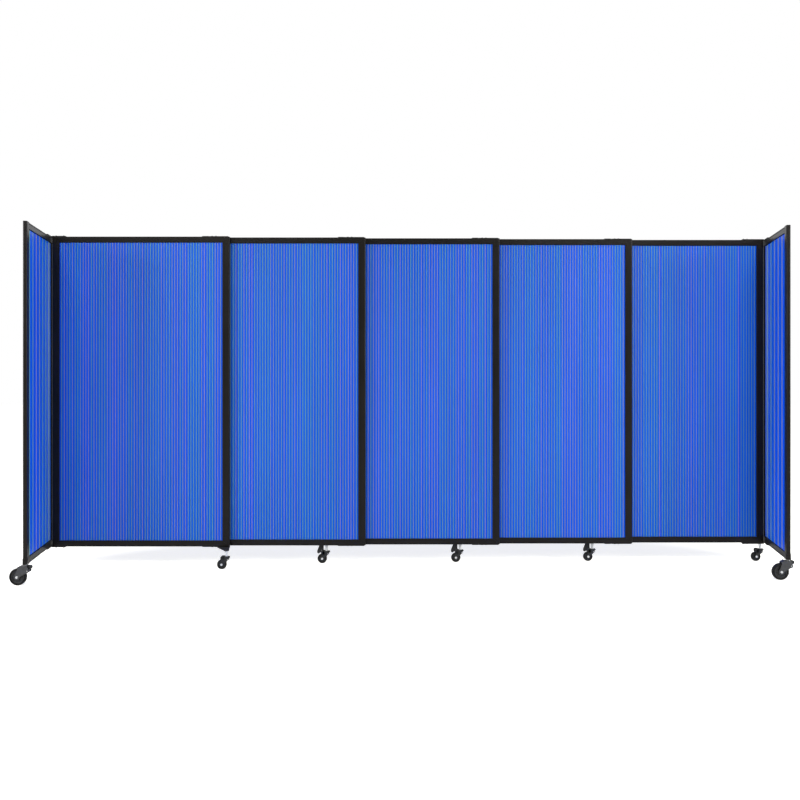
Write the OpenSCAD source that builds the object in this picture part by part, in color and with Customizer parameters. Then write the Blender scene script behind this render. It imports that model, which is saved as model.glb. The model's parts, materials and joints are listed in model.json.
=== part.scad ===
// Sliding folding partition: five framed fluted panels that telescope behind
// one another on top and bottom glides, with a hinged end wing at each side,
// standing on braked swivel casters.
// X runs along the wall, Y from front to back, Z up. The origin lies on the
// floor under the middle of the whole footprint.

/* [Panels] */
// Width of one framed panel
panel_w = 1120; // [900:10:1300]
// Height of a panel frame
frame_h = 1955; // [1500:5:2200]
// Height of the frames above the floor
frame_z = 120; // [115:1:150]
// Depth of the frame profiles, front to back
frame_t = 24; // [24:1:30]
// Face width of the upright profiles
stile_w = 44; // [38:1:60]
// Face height of the top and bottom profiles
rail_h = 35; // [33:1:50]
// Wall thickness of the hollow profiles
wall = 2; // [1.5:0.1:2.4]
// Corner rounding along the outer edges of the uprights
stile_r = 9; // [3:0.5:10]
// Corner rounding along the outer edges of the rails
rail_r = 2; // [1:0.5:3]
// Hairline left open at each mitred or butted corner
mitre_gap = 0.2; // [0.1:0.1:0.5]
// How far neighbouring panels overlap when the wall is fully extended
overlap = 264; // [250:2:400]
// Free gap between one panel's back and the next panel's front
panel_gap = 6; // [5:0.5:12]

/* [Fluted sheets] */
// Thickness of the twin-wall sheet
sheet_t = 10; // [6:1:10]
// Thickness of each of the sheet's two skins
skin_t = 0.8; // [0.5:0.1:1.2]
// Distance from one upright web to the next
flute_pitch = 17; // [11:0.5:25]
// Thickness of each web
web_t = 0.8; // [0.5:0.1:1.5]
// How deep the sheet sits in the frame's channels
sheet_grip = 10; // [7:0.5:10]
// Clearance round the sheet in its channel
sheet_fit = 0.3; // [0.2:0.1:0.5]

/* [Slide brackets] */
// Width of each glide groove in the rails
groove_w = 5; // [4:0.5:5.5]
// Depth of each glide groove
groove_d = 6; // [5:0.5:7]
// Distance from a rail's face to the nearer groove
groove_in = 3.5; // [3:0.25:4]
// Side clearance of a glide in its groove
glide_fit = 0.2; // [0.1:0.05:0.4]
// Clearance under a glide and under a bracket where it crosses a rail
slide_fit = 0.3; // [0.2:0.1:0.6]
// Length of the long plate at a panel's right end
plate_l = 126; // [120:1:160]
// Thickness of the long plate
plate_t = 3; // [2.5:0.5:5]
// Distance from the long plate to the panel's end
plate_end = 9; // [5:1:20]
// Length of the raised stop block at a panel's left end
block_l = 40; // [36:1:60]
// Thickness of the stop block
block_t = 6; // [5:0.5:8]
// Distance from the long plate's left end to its first screw
plate_screw_in = 23; // [16:1:26]
// Distance between the two screws of a stop block
block_screw_gap = 20; // [16:1:24]
// Distance kept from a bracket's edge to the frame's face
bracket_in = 2; // [1:0.5:3]
// Gap left between two brackets that meet as a stop
stop_gap = 0.5; // [0.3:0.1:1]
// Distance from a glide's end to its bracket's end
glide_end = 6; // [2:1:10]

/* [Screws] */
// Shank diameter of the bracket screws
screw_d = 4; // [3:0.5:5]
// Length of a screw under its head
screw_l = 16; // [12:1:20]
// Head diameter
head_d = 9; // [7:0.5:11]
// Head height
head_h = 3.2; // [2:0.2:4]
// Distance between the two screws of a long plate
screw_gap = 24; // [20:1:24]
// Radial clearance of a screw in its hole
screw_fit = 0.1; // [0.05:0.05:0.2]

/* [End wings] */
// Width of an end wing
wing_w = 560; // [420:10:700]
// Turn of the left wing past square, towards the middle
left_turn = 9.5; // [0:0.5:12]
// Turn of the right wing past square, towards the middle
right_turn = 11.5; // [0:0.5:12]
// Face width of the slim upright beside the hinge
hinge_stile_w = 30; // [28:1:40]
// Gap between a wing's inner face and the end of its panel
wing_gap = 8; // [6:0.5:14]
// How far a wing reaches back past the front of its panel
wing_tail = 61; // [60:1:80]
// Running clearance over and under a wing
wing_clear = 1; // [0.5:0.5:2]
// Height of the cap on a wing's outer post
cap_h = 3; // [2:0.5:6]
// Height of the foot sleeve round the bottom of that post
foot_h = 34; // [20:1:60]
// Thickness of the foot sleeve
foot_t = 2.5; // [1.5:0.5:4]

/* [Wing hinges] */
// Thickness of the hinge straps on the panels
strap_t = 5; // [4:0.5:7]
// Length of the first panel's strap along its panel
strap_l = 83; // [80:1:110]
// Distance from a panel's end to its strap's first screw
strap_screw_in = 22; // [18:1:30]
// Distance between the two screws of the first panel's strap
strap_screw_gap = 48; // [40:1:52]
// Radius of the strap's ear round the pin
ear_r = 12; // [10:0.5:12]
// Diameter of the hinge pin
hinge_pin_d = 10; // [8:0.5:12]
// Length of the hinge pin under the strap
hinge_pin_l = 28; // [20:1:32]
// Radial clearance of a turning pin in its bore
pin_fit = 0.05; // [0.02:0.01:0.08]
// Thickness of the gusset on the wing's inner face
gusset_t = 3; // [2:0.5:4]
// Length of the gusset along its lower edge
gusset_l = 246; // [180:2:260]
// Length of the gusset along its upper edge
gusset_top_l = 131; // [110:1:160]
// Where the raised flange on top of a wing begins
flange_from = 62; // [60:1:80]
// Thickness of the raised flange
flange_t = 5; // [3:0.5:7]

/* [Caster mounts] */
// Thickness of the caster mounting plates
mount_t = 4; // [3:0.5:5]
// Distance from a panel's left end to the caster under it
left_stem_in = 14; // [12:0.5:16]
// Distance from that left end to the mounting plate's screw
mount_screw_in = 31; // [30:0.5:40]
// Length of a left mounting plate under its rail
mount_l = 42; // [40:1:70]
// How far the left mounting plates stand past the panel's end
guard_out = 30; // [24:1:32]
// How far the guard on such a plate reaches past the panel's end
guard_reach = 46; // [40:1:48]
// Height of the guard's lower edge above the floor
guard_z = 63; // [62:0.5:70]
// Gap between the guard and the fork that swivels beside it
guard_gap = 3; // [2:0.5:6]
// Distance from the last panel's right end to its caster
right_stem_in = 20; // [14:0.5:24]
// How far the first panel's outrigger arm carries its caster forward
arm_reach = 88; // [80:1:120]
// Width of the outrigger arm where it meets the rail
arm_root_w = 78; // [60:1:80]
// Radius of the boss round the arm's stem
boss_r = 16; // [12:0.5:18]
// Height of that boss
boss_h = 9; // [7:0.5:10]
// Distance from the first panel's end to the arm's outer screw
arm_screw_in = 24; // [20:1:26]
// Distance between the arm's two screws
arm_screw_gap = 38; // [36:1:40]

/* [Small casters] */
// Wheel diameter of the casters under the panels
small_wheel_d = 60; // [56:1:62]
// Wheel width
small_wheel_w = 20; // [16:1:22]
// Trail of the wheel behind its swivel axis
small_trail = 28; // [24:1:30]
// Height of the fork's top above the floor
small_fork_z = 80; // [78:1:84]
// Width of the bright hexagon nut at the top of the stem
small_nut_d = 20; // [16:0.5:22]
// Height of that nut
small_nut_h = 12; // [8:1:16]
// Diameter of the stem where it meets the fork
small_neck_d = 15; // [10.5:0.5:16]

/* [Large casters] */
// Wheel diameter of the casters under the wings
large_wheel_d = 98; // [92:1:102]
// Wheel width
large_wheel_w = 28; // [22:1:34]
// Trail of the wheel behind its swivel axis
large_trail = 44; // [38:1:48]
// Height of the fork's top above the floor
large_fork_z = 114; // [112:1:116]
// Width of the bright hexagon nut at the top of the stem
large_nut_d = 22; // [18:0.5:24]
// Height of that nut
large_nut_h = 4; // [2:0.5:6]
// Diameter of the stem where it meets the fork
large_neck_d = 15; // [12:0.5:18]

/* [Caster parts] */
// Thickness of a fork's cheeks
cheek_t = 3; // [2.5:0.5:4]
// Thickness of the hood behind a fork's crown
hood_t = 3; // [2:0.5:4]
// Side gap between a wheel's hub and each cheek
wheel_gap = 1; // [0.5:0.25:2]
// Diameter of the swivel pivot at the foot of a stem
pivot_d = 10; // [9:0.5:10]
// Wall of the fork's crown in front of the pivot
crown_wall = 1.5; // [1.2:0.1:2]
// Gap between a stem's shoulder and the fork that turns under it
swivel_gap = 0.5; // [0.3:0.1:1]
// Diameter of a wheel axle
axle_d = 8; // [7:0.5:9]
// Diameter of the axle's bright heads
axle_head_d = 14; // [12:0.5:16]
// Thickness of the axle's heads
axle_head_t = 3; // [2:0.5:4]
// Side gap between a brake pedal and each cheek
pedal_gap = 2; // [1:0.5:3]
// Diameter of a brake pedal's pin
brake_pin_d = 5; // [4:0.5:6]
// Full travel of a brake pedal, in degrees
brake_travel = 20; // [12:1:24]
// Clearance left between a pressed brake and the tread
brake_fit = 0.5; // [0.3:0.1:1]

/* [Hidden] */

// Smoothness of every round face
$fn = 48;
// Overshoot of a cut past the face that it opens
over = 1;
// Number of panels in the wall
panels = 5;

// Colours of the finishes
black_coat = "#1b1c1e";
black_nylon = "#2a2b2d";
blue_sheet = "#3c67ce";
zinc = "#b9bcc0";
white_nylon = "#dcdcd6";

// Steps from one panel to the next, and the first panel's front left corner
step_x = panel_w - overlap;
step_y = frame_t + panel_gap;
run_w = panel_w + (panels - 1) * step_x;
run_x = -run_w / 2;
wing_front = (wing_w - wing_tail) * cos(left_turn);
wing_back = (panels - 1) * step_y + wing_tail * cos(right_turn);
run_y = (wing_front - wing_back) / 2;

// Channel that holds the sheet, and the chambers behind it
channel_w = sheet_t + 2 * sheet_fit;
channel_d = sheet_grip + 1;
mid_y = frame_t / 2;

// Places along a panel's top edge
plate_x = panel_w - plate_end - plate_l;
block_x = plate_x - stop_gap - block_l - step_x;
front_groove = groove_in;
back_groove = frame_t - groove_in - groove_w;
// A long plate ends just past the next panel's front groove, and a stop block just short of
// the panel before's back groove, so that the two can pass each other on one rail
lane_margin = 0.5;
plate_reach = step_y + front_groove + groove_w + lane_margin - bracket_in;
block_reach = step_y - back_groove + lane_margin;

// Wing sizes
wing_h = frame_h - 2 * wing_clear;
pin_in = hinge_stile_w / 2;

// ---------- Shapes used by several pieces ----------

// A rectangle with its two corners on the x = 0 side rounded
module round_edge(w, t, r) {
    translate([r, 0])
        square([w - r, t]);
    translate([0, r])
        square([r + 0.01, t - 2 * r]);
    for (y = [r, t - r])
        translate([r, y])
            circle(r);
}

// A long rectangle with all four corners rounded
module round_ends(l, t, r) {
    round_edge(l / 2, t, r);
    translate([l, 0])
        mirror([1, 0])
            round_edge(l / 2, t, r);
}

// Section of an upright: outer edge at x = 0, sheet channel at x = w
module upright_section(w) {
    chamber_x = wall + stile_r / 2;
    difference() {
        round_edge(w, frame_t, stile_r);
        translate([w - channel_d, mid_y - channel_w / 2])
            square([channel_d + over, channel_w]);
        translate([chamber_x, wall])
            square([w - channel_d - wall - chamber_x, frame_t - 2 * wall]);
    }
}

// Section of a rail: outer edge with its two grooves at x = 0, sheet channel at x = rail_h
module rail_section() {
    chamber_x = groove_d + wall;
    difference() {
        round_edge(rail_h, frame_t, rail_r);
        for (y = [front_groove, back_groove])
            translate([-over, y])
                square([groove_d + over, groove_w]);
        translate([rail_h - channel_d, mid_y - channel_w / 2])
            square([channel_d + over, channel_w]);
        translate([chamber_x, wall])
            square([rail_h - channel_d - wall - chamber_x, frame_t - 2 * wall]);
    }
}

// An upright's bar, standing on z = 0 with its outer edge at x = 0
module upright_bar(w, h) {
    linear_extrude(h)
        upright_section(w);
}

// A rail's bar along +x, with its grooved edge up at z = 0
module rail_bar(l) {
    rotate([0, 90, 0])
        linear_extrude(l)
            rail_section();
}

// A flat outline in the x-z plane, given depth along +y
module upright_plate(depth) {
    translate([0, depth, 0])
        rotate([90, 0, 0])
            linear_extrude(depth)
                children();
}

// What sits at the top edge of a piece of height h, and its mirror at the bottom edge
module top_and_bottom(h) {
    children();
    translate([0, 0, h])
        mirror([0, 0, 1])
            children();
}

// Puts a panel's pieces in place
module at_panel(n) {
    translate([run_x + (n - 1) * step_x, run_y + (n - 1) * step_y, frame_z])
        children();
}

// Twin-wall sheet standing on z = 0, from x = 0, centred on y = 0
module fluted_sheet(w, h) {
    cells = floor((w - web_t) / flute_pitch);
    first = (w - cells * flute_pitch + web_t) / 2;
    linear_extrude(h)
        difference() {
            translate([0, -sheet_t / 2])
                square([w, sheet_t]);
            for (i = [0 : cells - 1])
                translate([first + i * flute_pitch, skin_t - sheet_t / 2])
                    square([flute_pitch - web_t, sheet_t - 2 * skin_t]);
        }
}

// Screw with its head on z = 0 and its shank pointing down
module screw() {
    translate([0, 0, -screw_l])
        cylinder(h = screw_l + 0.01, d = screw_d);
    cylinder(h = head_h / 2, d = head_d);
    translate([0, 0, head_h / 2])
        cylinder(h = head_h / 2, d1 = head_d, d2 = 0.6 * head_d);
}

// The hole that such a screw needs, from z = 0 down
module screw_hole() {
    translate([0, 0, -screw_l - over])
        cylinder(h = screw_l + 2 * over, r = screw_d / 2 + screw_fit);
}

// ---------- Where the screws go ----------

// x of the screws in a panel's top edge, and again in its bottom edge
function first_strap_screws() = [strap_screw_in, strap_screw_in + strap_screw_gap];
function block_screws() = [
    block_x + (block_l - block_screw_gap) / 2,
    block_x + (block_l + block_screw_gap) / 2
];
function plate_screws() = [plate_x + plate_screw_in, plate_x + plate_screw_in + screw_gap];
// The last panel's strap starts where the long plates do, and stops the plate before it
last_strap_l = panel_w - plate_x;
last_strap_edge = 8;
function last_strap_screws() = [
    plate_x + last_strap_edge,
    plate_x + last_strap_edge + screw_gap
];
function top_screws(n) = concat(
    n == 1 ? first_strap_screws() : block_screws(),
    n == panels ? last_strap_screws() : plate_screws()
);
// x of the screws that hold the outrigger arm; every long plate is drilled for them
arm_screws = [panel_w - arm_screw_in - arm_screw_gap, panel_w - arm_screw_in];
// x of the screws that only the bottom edge has, through the caster mounts
function bottom_screws(n) =
    n == 1 ? arm_screws :
    n == 2 ? [] : [mount_screw_in];
// How far a left stem's spigot reaches into the rail
spigot_l = 6;

module rail_screw_holes(n) {
    for (x = top_screws(n))
        top_and_bottom(frame_h)
            translate([x, mid_y, frame_h])
                screw_hole();
    for (x = bottom_screws(n))
        translate([x, mid_y, 0])
            mirror([0, 0, 1])
                screw_hole();
    if (n > 2)
        translate([left_stem_in, mid_y, -over])
            cylinder(h = spigot_l + over, r = pivot_d / 2 + screw_fit);
}

// ---------- Frames ----------

// Face outline of one mitred profile of a w by h frame
module mitre_outline(w, h, side) {
    g = mitre_gap / 2;
    in_x = stile_w;
    in_z = rail_h;
    if (side == "left")
        polygon([[-over, -over * in_z / in_x + g], [in_x + over, in_z + over * in_z / in_x + g],
            [in_x + over, h - in_z - over * in_z / in_x - g], [-over, h + over * in_z / in_x - g]]);
    if (side == "top")
        polygon([[-over * in_x / in_z + g, h + over], [w + over * in_x / in_z - g, h + over],
            [w - in_x - over * in_x / in_z - g, h - in_z - over],
            [in_x + over * in_x / in_z + g, h - in_z - over]]);
}

// Upright with mitred ends that take the rails' rounding
module mitred_stile() {
    intersection() {
        upright_bar(stile_w, frame_h);
        translate([-over, 0, frame_h])
            rotate([0, 90, 0])
                linear_extrude(stile_w + 2 * over)
                    round_ends(frame_h, frame_t, rail_r);
        translate([0, -over, 0])
            upright_plate(frame_t + 2 * over)
                mitre_outline(panel_w, frame_h, "left");
    }
}

// Top rail with mitred ends that take the uprights' rounding
module mitred_rail() {
    intersection() {
        translate([0, 0, frame_h])
            rail_bar(panel_w);
        translate([0, 0, frame_h - rail_h - over])
            linear_extrude(rail_h + 2 * over)
                round_ends(panel_w, frame_t, stile_r);
        translate([0, -over, 0])
            upright_plate(frame_t + 2 * over)
                mitre_outline(panel_w, frame_h, "top");
    }
}

module panel_frame(n) {
    at_panel(n)
        color(black_coat) {
            mitred_stile();
            translate([panel_w, 0, 0])
                mirror([1, 0, 0])
                    mitred_stile();
            difference() {
                top_and_bottom(frame_h)
                    mitred_rail();
                rail_screw_holes(n);
            }
        }
}

module panel_sheet(n) {
    inset = stile_w - sheet_grip;
    rise = rail_h - sheet_grip;
    at_panel(n)
        color(blue_sheet)
            translate([inset, mid_y, rise])
                fluted_sheet(panel_w - 2 * inset, frame_h - 2 * rise);
}

// ---------- Slide brackets and glides ----------

// Long plate on the right end of a panel, reaching back over the next panel's rail
module long_plate() {
    difference() {
        translate([plate_x, bracket_in, frame_h])
            cube([plate_l, plate_reach, plate_t]);
        translate([plate_x - over, frame_t, frame_h - over])
            cube([plate_l + 2 * over, plate_reach, over + slide_fit]);
        for (x = concat(plate_screws(), arm_screws))
            translate([x, mid_y, frame_h + plate_t])
                screw_hole();
    }
}

// Raised block on the left end of a panel, reaching forward over the rail of the one before
module stop_block() {
    difference() {
        translate([block_x, -block_reach, frame_h])
            cube([block_l, block_reach + frame_t - bracket_in, block_t]);
        translate([block_x - over, -block_reach - over, frame_h - over])
            cube([block_l + 2 * over, block_reach + over, over + slide_fit]);
        for (x = block_screws())
            translate([x, mid_y, frame_h + block_t]) {
                screw_hole();
                translate([0, 0, -head_h - screw_fit])
                    cylinder(h = head_h + over, r = head_d / 2 + 2 * screw_fit);
            }
    }
}

// A row of screws in a panel's edge, with their heads resting at z
module screw_row(list, z) {
    for (x = list)
        translate([x, mid_y, z + screw_fit])
            screw();
}

module panel_brackets(n) {
    at_panel(n)
        color(black_coat)
            top_and_bottom(frame_h) {
                if (n > 1) {
                    stop_block();
                    screw_row(block_screws(), frame_h + block_t - head_h);
                }
                if (n < panels) {
                    long_plate();
                    screw_row(plate_screws(), frame_h + plate_t);
                }
            }
}

// Nylon runner that hangs in a groove, starting at x and y
module glide(x, y, l) {
    translate([x, y + glide_fit, frame_h - groove_d + slide_fit])
        cube([l, groove_w - 2 * glide_fit, groove_d]);
}

module panel_glides(n) {
    at_panel(n)
        color(white_nylon)
            top_and_bottom(frame_h) {
                if (n < panels)
                    glide(plate_x + glide_end, step_y + front_groove, plate_l - 2 * glide_end);
                if (n > 1)
                    glide(block_x + glide_end / 2, back_groove - step_y, block_l - glide_end);
            }
}

// ---------- End wings ----------

// Hinge axis of a right-hand wing, from its panel's outer front corner
function hinge_x(turn) = wing_gap + (wing_tail - pin_in) * sin(turn) + mid_y * cos(turn);
function hinge_y(turn) = (wing_tail - pin_in) * cos(turn) - mid_y * sin(turn);

// Puts right-hand hinge hardware at the outer front corner of the last or the first panel
module at_right_corner() {
    at_panel(panels)
        translate([panel_w, 0, 0])
            children();
}

module at_left_corner() {
    at_panel(1)
        mirror([1, 0, 0])
            children();
}

// Puts a wing's pieces in place: x along the wing from its rear edge, y from its inner face
module wing_place(turn) {
    translate([hinge_x(turn), hinge_y(turn), wing_clear])
        rotate([0, 0, -90 - turn])
            translate([-pin_in, -mid_y, 0])
                children();
}

module wing_frame() {
    color(black_coat) {
        // outer post and its cap
        translate([wing_w, 0, 0])
            mirror([1, 0, 0])
                upright_bar(stile_w, wing_h);
        translate([wing_w, 0, wing_h + mitre_gap])
            mirror([1, 0, 0])
                linear_extrude(cap_h)
                    round_edge(stile_w, frame_t, stile_r);
        // foot sleeve round the bottom of the outer post
        translate([wing_w, 0, 0])
            mirror([1, 0, 0])
                linear_extrude(foot_h)
                    difference() {
                        translate([-foot_t, -foot_t])
                            round_edge(stile_w + foot_t, frame_t + 2 * foot_t, stile_r + foot_t);
                        translate([-screw_fit, -screw_fit])
                            round_edge(stile_w + over, frame_t + 2 * screw_fit, stile_r);
                    }
        // slim upright between the two hinge castings
        translate([0, 0, rail_h + mitre_gap])
            upright_bar(hinge_stile_w, wing_h - 2 * rail_h - 2 * mitre_gap);
        // rails
        top_and_bottom(wing_h)
            translate([hinge_stile_w + mitre_gap, 0, wing_h])
                rail_bar(wing_w - stile_w - hinge_stile_w - 2 * mitre_gap);
    }
}

module wing_sheet() {
    from = hinge_stile_w - sheet_grip;
    to = wing_w - stile_w + sheet_grip;
    rise = rail_h - sheet_grip;
    // the sheet's corners are notched round the hinge castings
    notch = hinge_stile_w + mitre_gap;
    color(blue_sheet)
        difference() {
            translate([from, mid_y, rise])
                fluted_sheet(to - from, wing_h - 2 * rise);
            top_and_bottom(wing_h)
                translate([-over, -over, wing_h - rail_h - mitre_gap])
                    cube([notch + over, frame_t + 2 * over, rail_h + mitre_gap + over]);
        }
}

// Corner casting: a block with the pin's bore, a gusset on the inner face and a flange on top
module hinge_casting() {
    low = wing_h - rail_h;
    difference() {
        union() {
            translate([0, 0, low])
                cube([hinge_stile_w, frame_t, rail_h]);
            translate([0, -gusset_t, 0])
                upright_plate(gusset_t)
                    polygon([[0, low], [gusset_l, low], [gusset_top_l, wing_h],
                        [gusset_top_l, wing_h + flange_t], [flange_from, wing_h + flange_t],
                        [flange_from, wing_h], [0, wing_h]]);
            translate([flange_from, -gusset_t, wing_h])
                cube([gusset_top_l - flange_from, frame_t + gusset_t, flange_t]);
        }
        translate([pin_in, mid_y, low - over])
            cylinder(h = rail_h + 2 * over, r = hinge_pin_d / 2 + pin_fit);
    }
}

module wing_hinges() {
    color(black_coat)
        top_and_bottom(wing_h)
            hinge_casting();
}

// Strap of length l along a panel's edge, with the hinge pin under its ear
module hinge_strap(turn, l, screws) {
    near = bracket_in;
    far = frame_t - bracket_in;
    ear = [hinge_x(turn), hinge_y(turn)];
    along = (ear - [-mid_y, mid_y]) / norm(ear - [-mid_y, mid_y]);
    // the leg's edges run just inside the ear's round outline
    leg = 0.96 * ear_r * [-along[1], along[0]];
    difference() {
        union() {
            translate([0, 0, frame_h])
                linear_extrude(strap_t) {
                    polygon([[-l, near], [-near, near], ear - leg, ear + leg,
                        [-frame_t, far], [-l, far]]);
                    translate(ear)
                        circle(ear_r);
                }
            translate([ear[0], ear[1], frame_h - hinge_pin_l])
                cylinder(h = hinge_pin_l + strap_t / 2, d = hinge_pin_d);
        }
        for (x = screws)
            translate([-x, mid_y, frame_h + strap_t])
                screw_hole();
    }
}

// Both straps of a panel; the bottom screws hold a caster mount of thickness below as well
module hinge_straps(turn, l, screws, below) {
    color(black_coat) {
        top_and_bottom(frame_h)
            hinge_strap(turn, l, screws);
        for (x = screws) {
            translate([-x, mid_y, frame_h + strap_t + screw_fit])
                screw();
            translate([-x, mid_y, -strap_t - below - screw_fit])
                mirror([0, 0, 1])
                    screw();
        }
    }
}

// ---------- Caster mounts ----------

// Outrigger arm under the first panel's right end, below its long plate
module caster_arm() {
    low = -plate_t - mount_t;
    foot = [panel_w, -arm_reach];
    color(black_coat)
        at_panel(1) {
            difference() {
                union() {
                    translate([0, 0, low])
                        linear_extrude(mount_t) {
                            polygon([[panel_w - arm_root_w, frame_t - bracket_in],
                                [panel_w - arm_root_w, bracket_in],
                                foot + [-boss_r, 0], foot + [boss_r, 0],
                                [panel_w, bracket_in], [panel_w, frame_t - bracket_in]]);
                            translate(foot)
                                circle(boss_r);
                        }
                    translate([foot[0], foot[1], low])
                        cylinder(h = boss_h, r = boss_r);
                }
                translate([foot[0], foot[1], low - over])
                    cylinder(h = boss_h, r = pivot_d / 2 + screw_fit);
                for (x = arm_screws)
                    translate([x, mid_y, low])
                        mirror([0, 0, 1])
                            screw_hole();
            }
            for (x = arm_screws)
                translate([x, mid_y, low - screw_fit])
                    mirror([0, 0, 1])
                        screw();
        }
}

// Plate under a panel's left end, with a guard that hangs beside the caster
module left_mount() {
    low = guard_z - frame_z;
    lobe = guard_reach - guard_out;
    // the guard's step over the fork, and its edge beside the fork
    step = small_fork_z + guard_gap - frame_z;
    edge = left_stem_in - norm([shoulder(small)[0], fork_out(small)]) - guard_gap;
    // slant of the guard's edges
    slant = mount_t;
    // the guard's foot; its corner lies on the line from there to the plate's far end, which
    // the swivelling brake pedal stays below
    foot = -guard_reach + 3 * slant;
    corner = low + (edge - foot) * (-mount_t - low) / (mount_l - foot);
    difference() {
        union() {
            translate([-guard_out, bracket_in, -mount_t])
                cube([guard_out + mount_l, frame_t - 2 * bracket_in, mount_t]);
            translate([0, bracket_in, 0])
                upright_plate(mount_t)
                    polygon([[-guard_out, 0], [-slant, 0], [-slant, step], [edge, step],
                        [edge, corner], [foot, low], [-guard_reach + slant, low],
                        [-guard_reach, low + lobe / 2], [-guard_reach, low + lobe],
                        [-guard_reach + slant, low / 2]]);
        }
        translate([left_stem_in, mid_y, -mount_t - over])
            cylinder(h = mount_t + 2 * over, r = pivot_d / 2 + screw_fit);
        translate([mount_screw_in, mid_y, -mount_t])
            mirror([0, 0, 1])
                screw_hole();
    }
    translate([mount_screw_in, mid_y, -mount_t - screw_fit])
        mirror([0, 0, 1])
            screw();
}

// Plate under the last panel's right end, below its hinge strap
module right_mount() {
    difference() {
        translate([plate_x, bracket_in, -strap_t - mount_t])
            cube([last_strap_l, frame_t - 2 * bracket_in, mount_t]);
        translate([panel_w - right_stem_in, mid_y, -strap_t - mount_t - over])
            cylinder(h = mount_t + over - slide_fit, r = pivot_d / 2 + screw_fit);
        for (x = last_strap_screws())
            translate([x, mid_y, -strap_t - mount_t])
                mirror([0, 0, 1])
                    screw_hole();
    }
}

// ---------- Stems ----------

// Stem whose nut meets the mount at z = top: a spigot above, a neck and the pivot below
module stem(top, spigot, nut_d, nut_h, neck_d, fork_z, pivot_l) {
    translate([0, 0, top])
        cylinder(h = spigot, d = pivot_d);
    translate([0, 0, top - nut_h])
        cylinder(h = nut_h, d = nut_d, $fn = 6);
    translate([0, 0, fork_z])
        cylinder(h = top - nut_h - fork_z, d1 = neck_d, d2 = 0.8 * nut_d);
    translate([0, 0, fork_z - pivot_l])
        cylinder(h = pivot_l, d = pivot_d);
}

module small_stem(top, spigot) {
    stem(top, spigot, small_nut_d, small_nut_h, small_neck_d, small_fork_z, pivot_l(small));
}

// Stem of a wing's caster, on a plug that fills the foot of the outer post
module wing_stem() {
    plug_x = wall + stile_r / 2 + sheet_fit;
    plug_w = stile_w - channel_d - wall - stile_r / 2 - wall - 2 * sheet_fit;
    plug_t = frame_t - 2 * wall - 2 * sheet_fit;
    plug_h = 25;
    color(zinc) {
        translate([wing_w - stile_w / 2, mid_y, -frame_z - wing_clear])
            stem(frame_z + wing_clear, plug_h / 2, large_nut_d, large_nut_h,
                large_neck_d, large_fork_z, pivot_l(large));
        translate([wing_w - plug_x - plug_w, mid_y - plug_t / 2, 0])
            cube([plug_w, plug_t, plug_h]);
    }
}

// ---------- Casters ----------

// Numbers of one caster size: wheel radius, wheel width, trail, height of the fork's top
small = [small_wheel_d / 2, small_wheel_w, small_trail, small_fork_z];
large = [large_wheel_d / 2, large_wheel_w, large_trail, large_fork_z];

// Proportions of a caster, as shares of its wheel's radius
crown_share = 0.3;
hub_share = 0.3;
ear_share = 0.2;
toe_share = 0.24;
toe_w_share = 0.65;
tread_share = 0.2;
edge_share = 0.12;

// Height of the fork's crown, and of its top face above the floor
function crown_h(c) = crown_share * c[0];
function crown_top(c) = c[3] - swivel_gap;
// Length of the pivot under the stem's shoulder, a little more than the crown
function pivot_l(c) = crown_h(c) + 2 * swivel_gap;
// Half the inner width of a fork, and its outer half width
function fork_in(c) = c[1] / 2 + wheel_gap;
function fork_out(c) = fork_in(c) + cheek_t;
// Brake pin in front of the pivot, seen from the front with the swivel axis at x = 0
function brake_pin(c) = [0.3 * c[0], c[3] - 0.62 * c[0]];
function axle(c) = [-c[2], c[0]];
function brake_reach(c) = norm(brake_pin(c) - axle(c)) - c[0] - brake_fit;
function brake_aim(c) =
    atan2(axle(c)[1] - brake_pin(c)[1], axle(c)[0] - brake_pin(c)[0]);
// Upper rear corner of the cheeks and the hood
function shoulder(c) = [-c[2] + 0.05 * c[0], crown_top(c) - 0.14 * c[0]];

// Side outline of a fork's cheek, its corners given as shares of the wheel's radius
module cheek_outline(c) {
    r = c[0];
    top = crown_top(c);
    hub_r = hub_share * r;
    ear_r = ear_share * r;
    pin = brake_pin(c);
    difference() {
        union() {
            polygon([[0.25 * r, top], [-0.3 * r, top], [-0.42 * r, top + 0.08 * r],
                [-0.57 * r, top - 0.04 * r], shoulder(c), shoulder(c) - [0, 0.25 * r],
                axle(c) + [-hub_r, 0], axle(c) + [0, -hub_r], axle(c) + [hub_r, 0],
                pin + [0, -ear_r], pin + [ear_r, 0]]);
            translate(axle(c))
                circle(hub_r);
            translate(pin)
                circle(ear_r);
        }
        translate(axle(c))
            circle(axle_d / 2 + screw_fit);
        translate(pin)
            circle(brake_pin_d / 2 + screw_fit);
    }
}

// Cheeks, crown and hood in one casting
module fork_body(c) {
    top = crown_top(c);
    back = 0.55 * c[0];
    front = pivot_d / 2 + crown_wall;
    difference() {
        union() {
            for (y = [-fork_out(c), fork_in(c)])
                translate([0, y, 0])
                    upright_plate(cheek_t)
                        cheek_outline(c);
            translate([-back, -fork_out(c), top - crown_h(c)])
                cube([back + front, 2 * fork_out(c), crown_h(c)]);
            translate([0, -fork_out(c), 0])
                upright_plate(2 * fork_out(c))
                    polygon([[-back + 1, top], shoulder(c), shoulder(c) - [0, hood_t],
                        [-back + 1, top - hood_t]]);
        }
        translate([0, 0, top - crown_h(c) - over])
            cylinder(h = crown_h(c) + 2 * over, r = pivot_d / 2 + pin_fit);
    }
}

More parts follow.
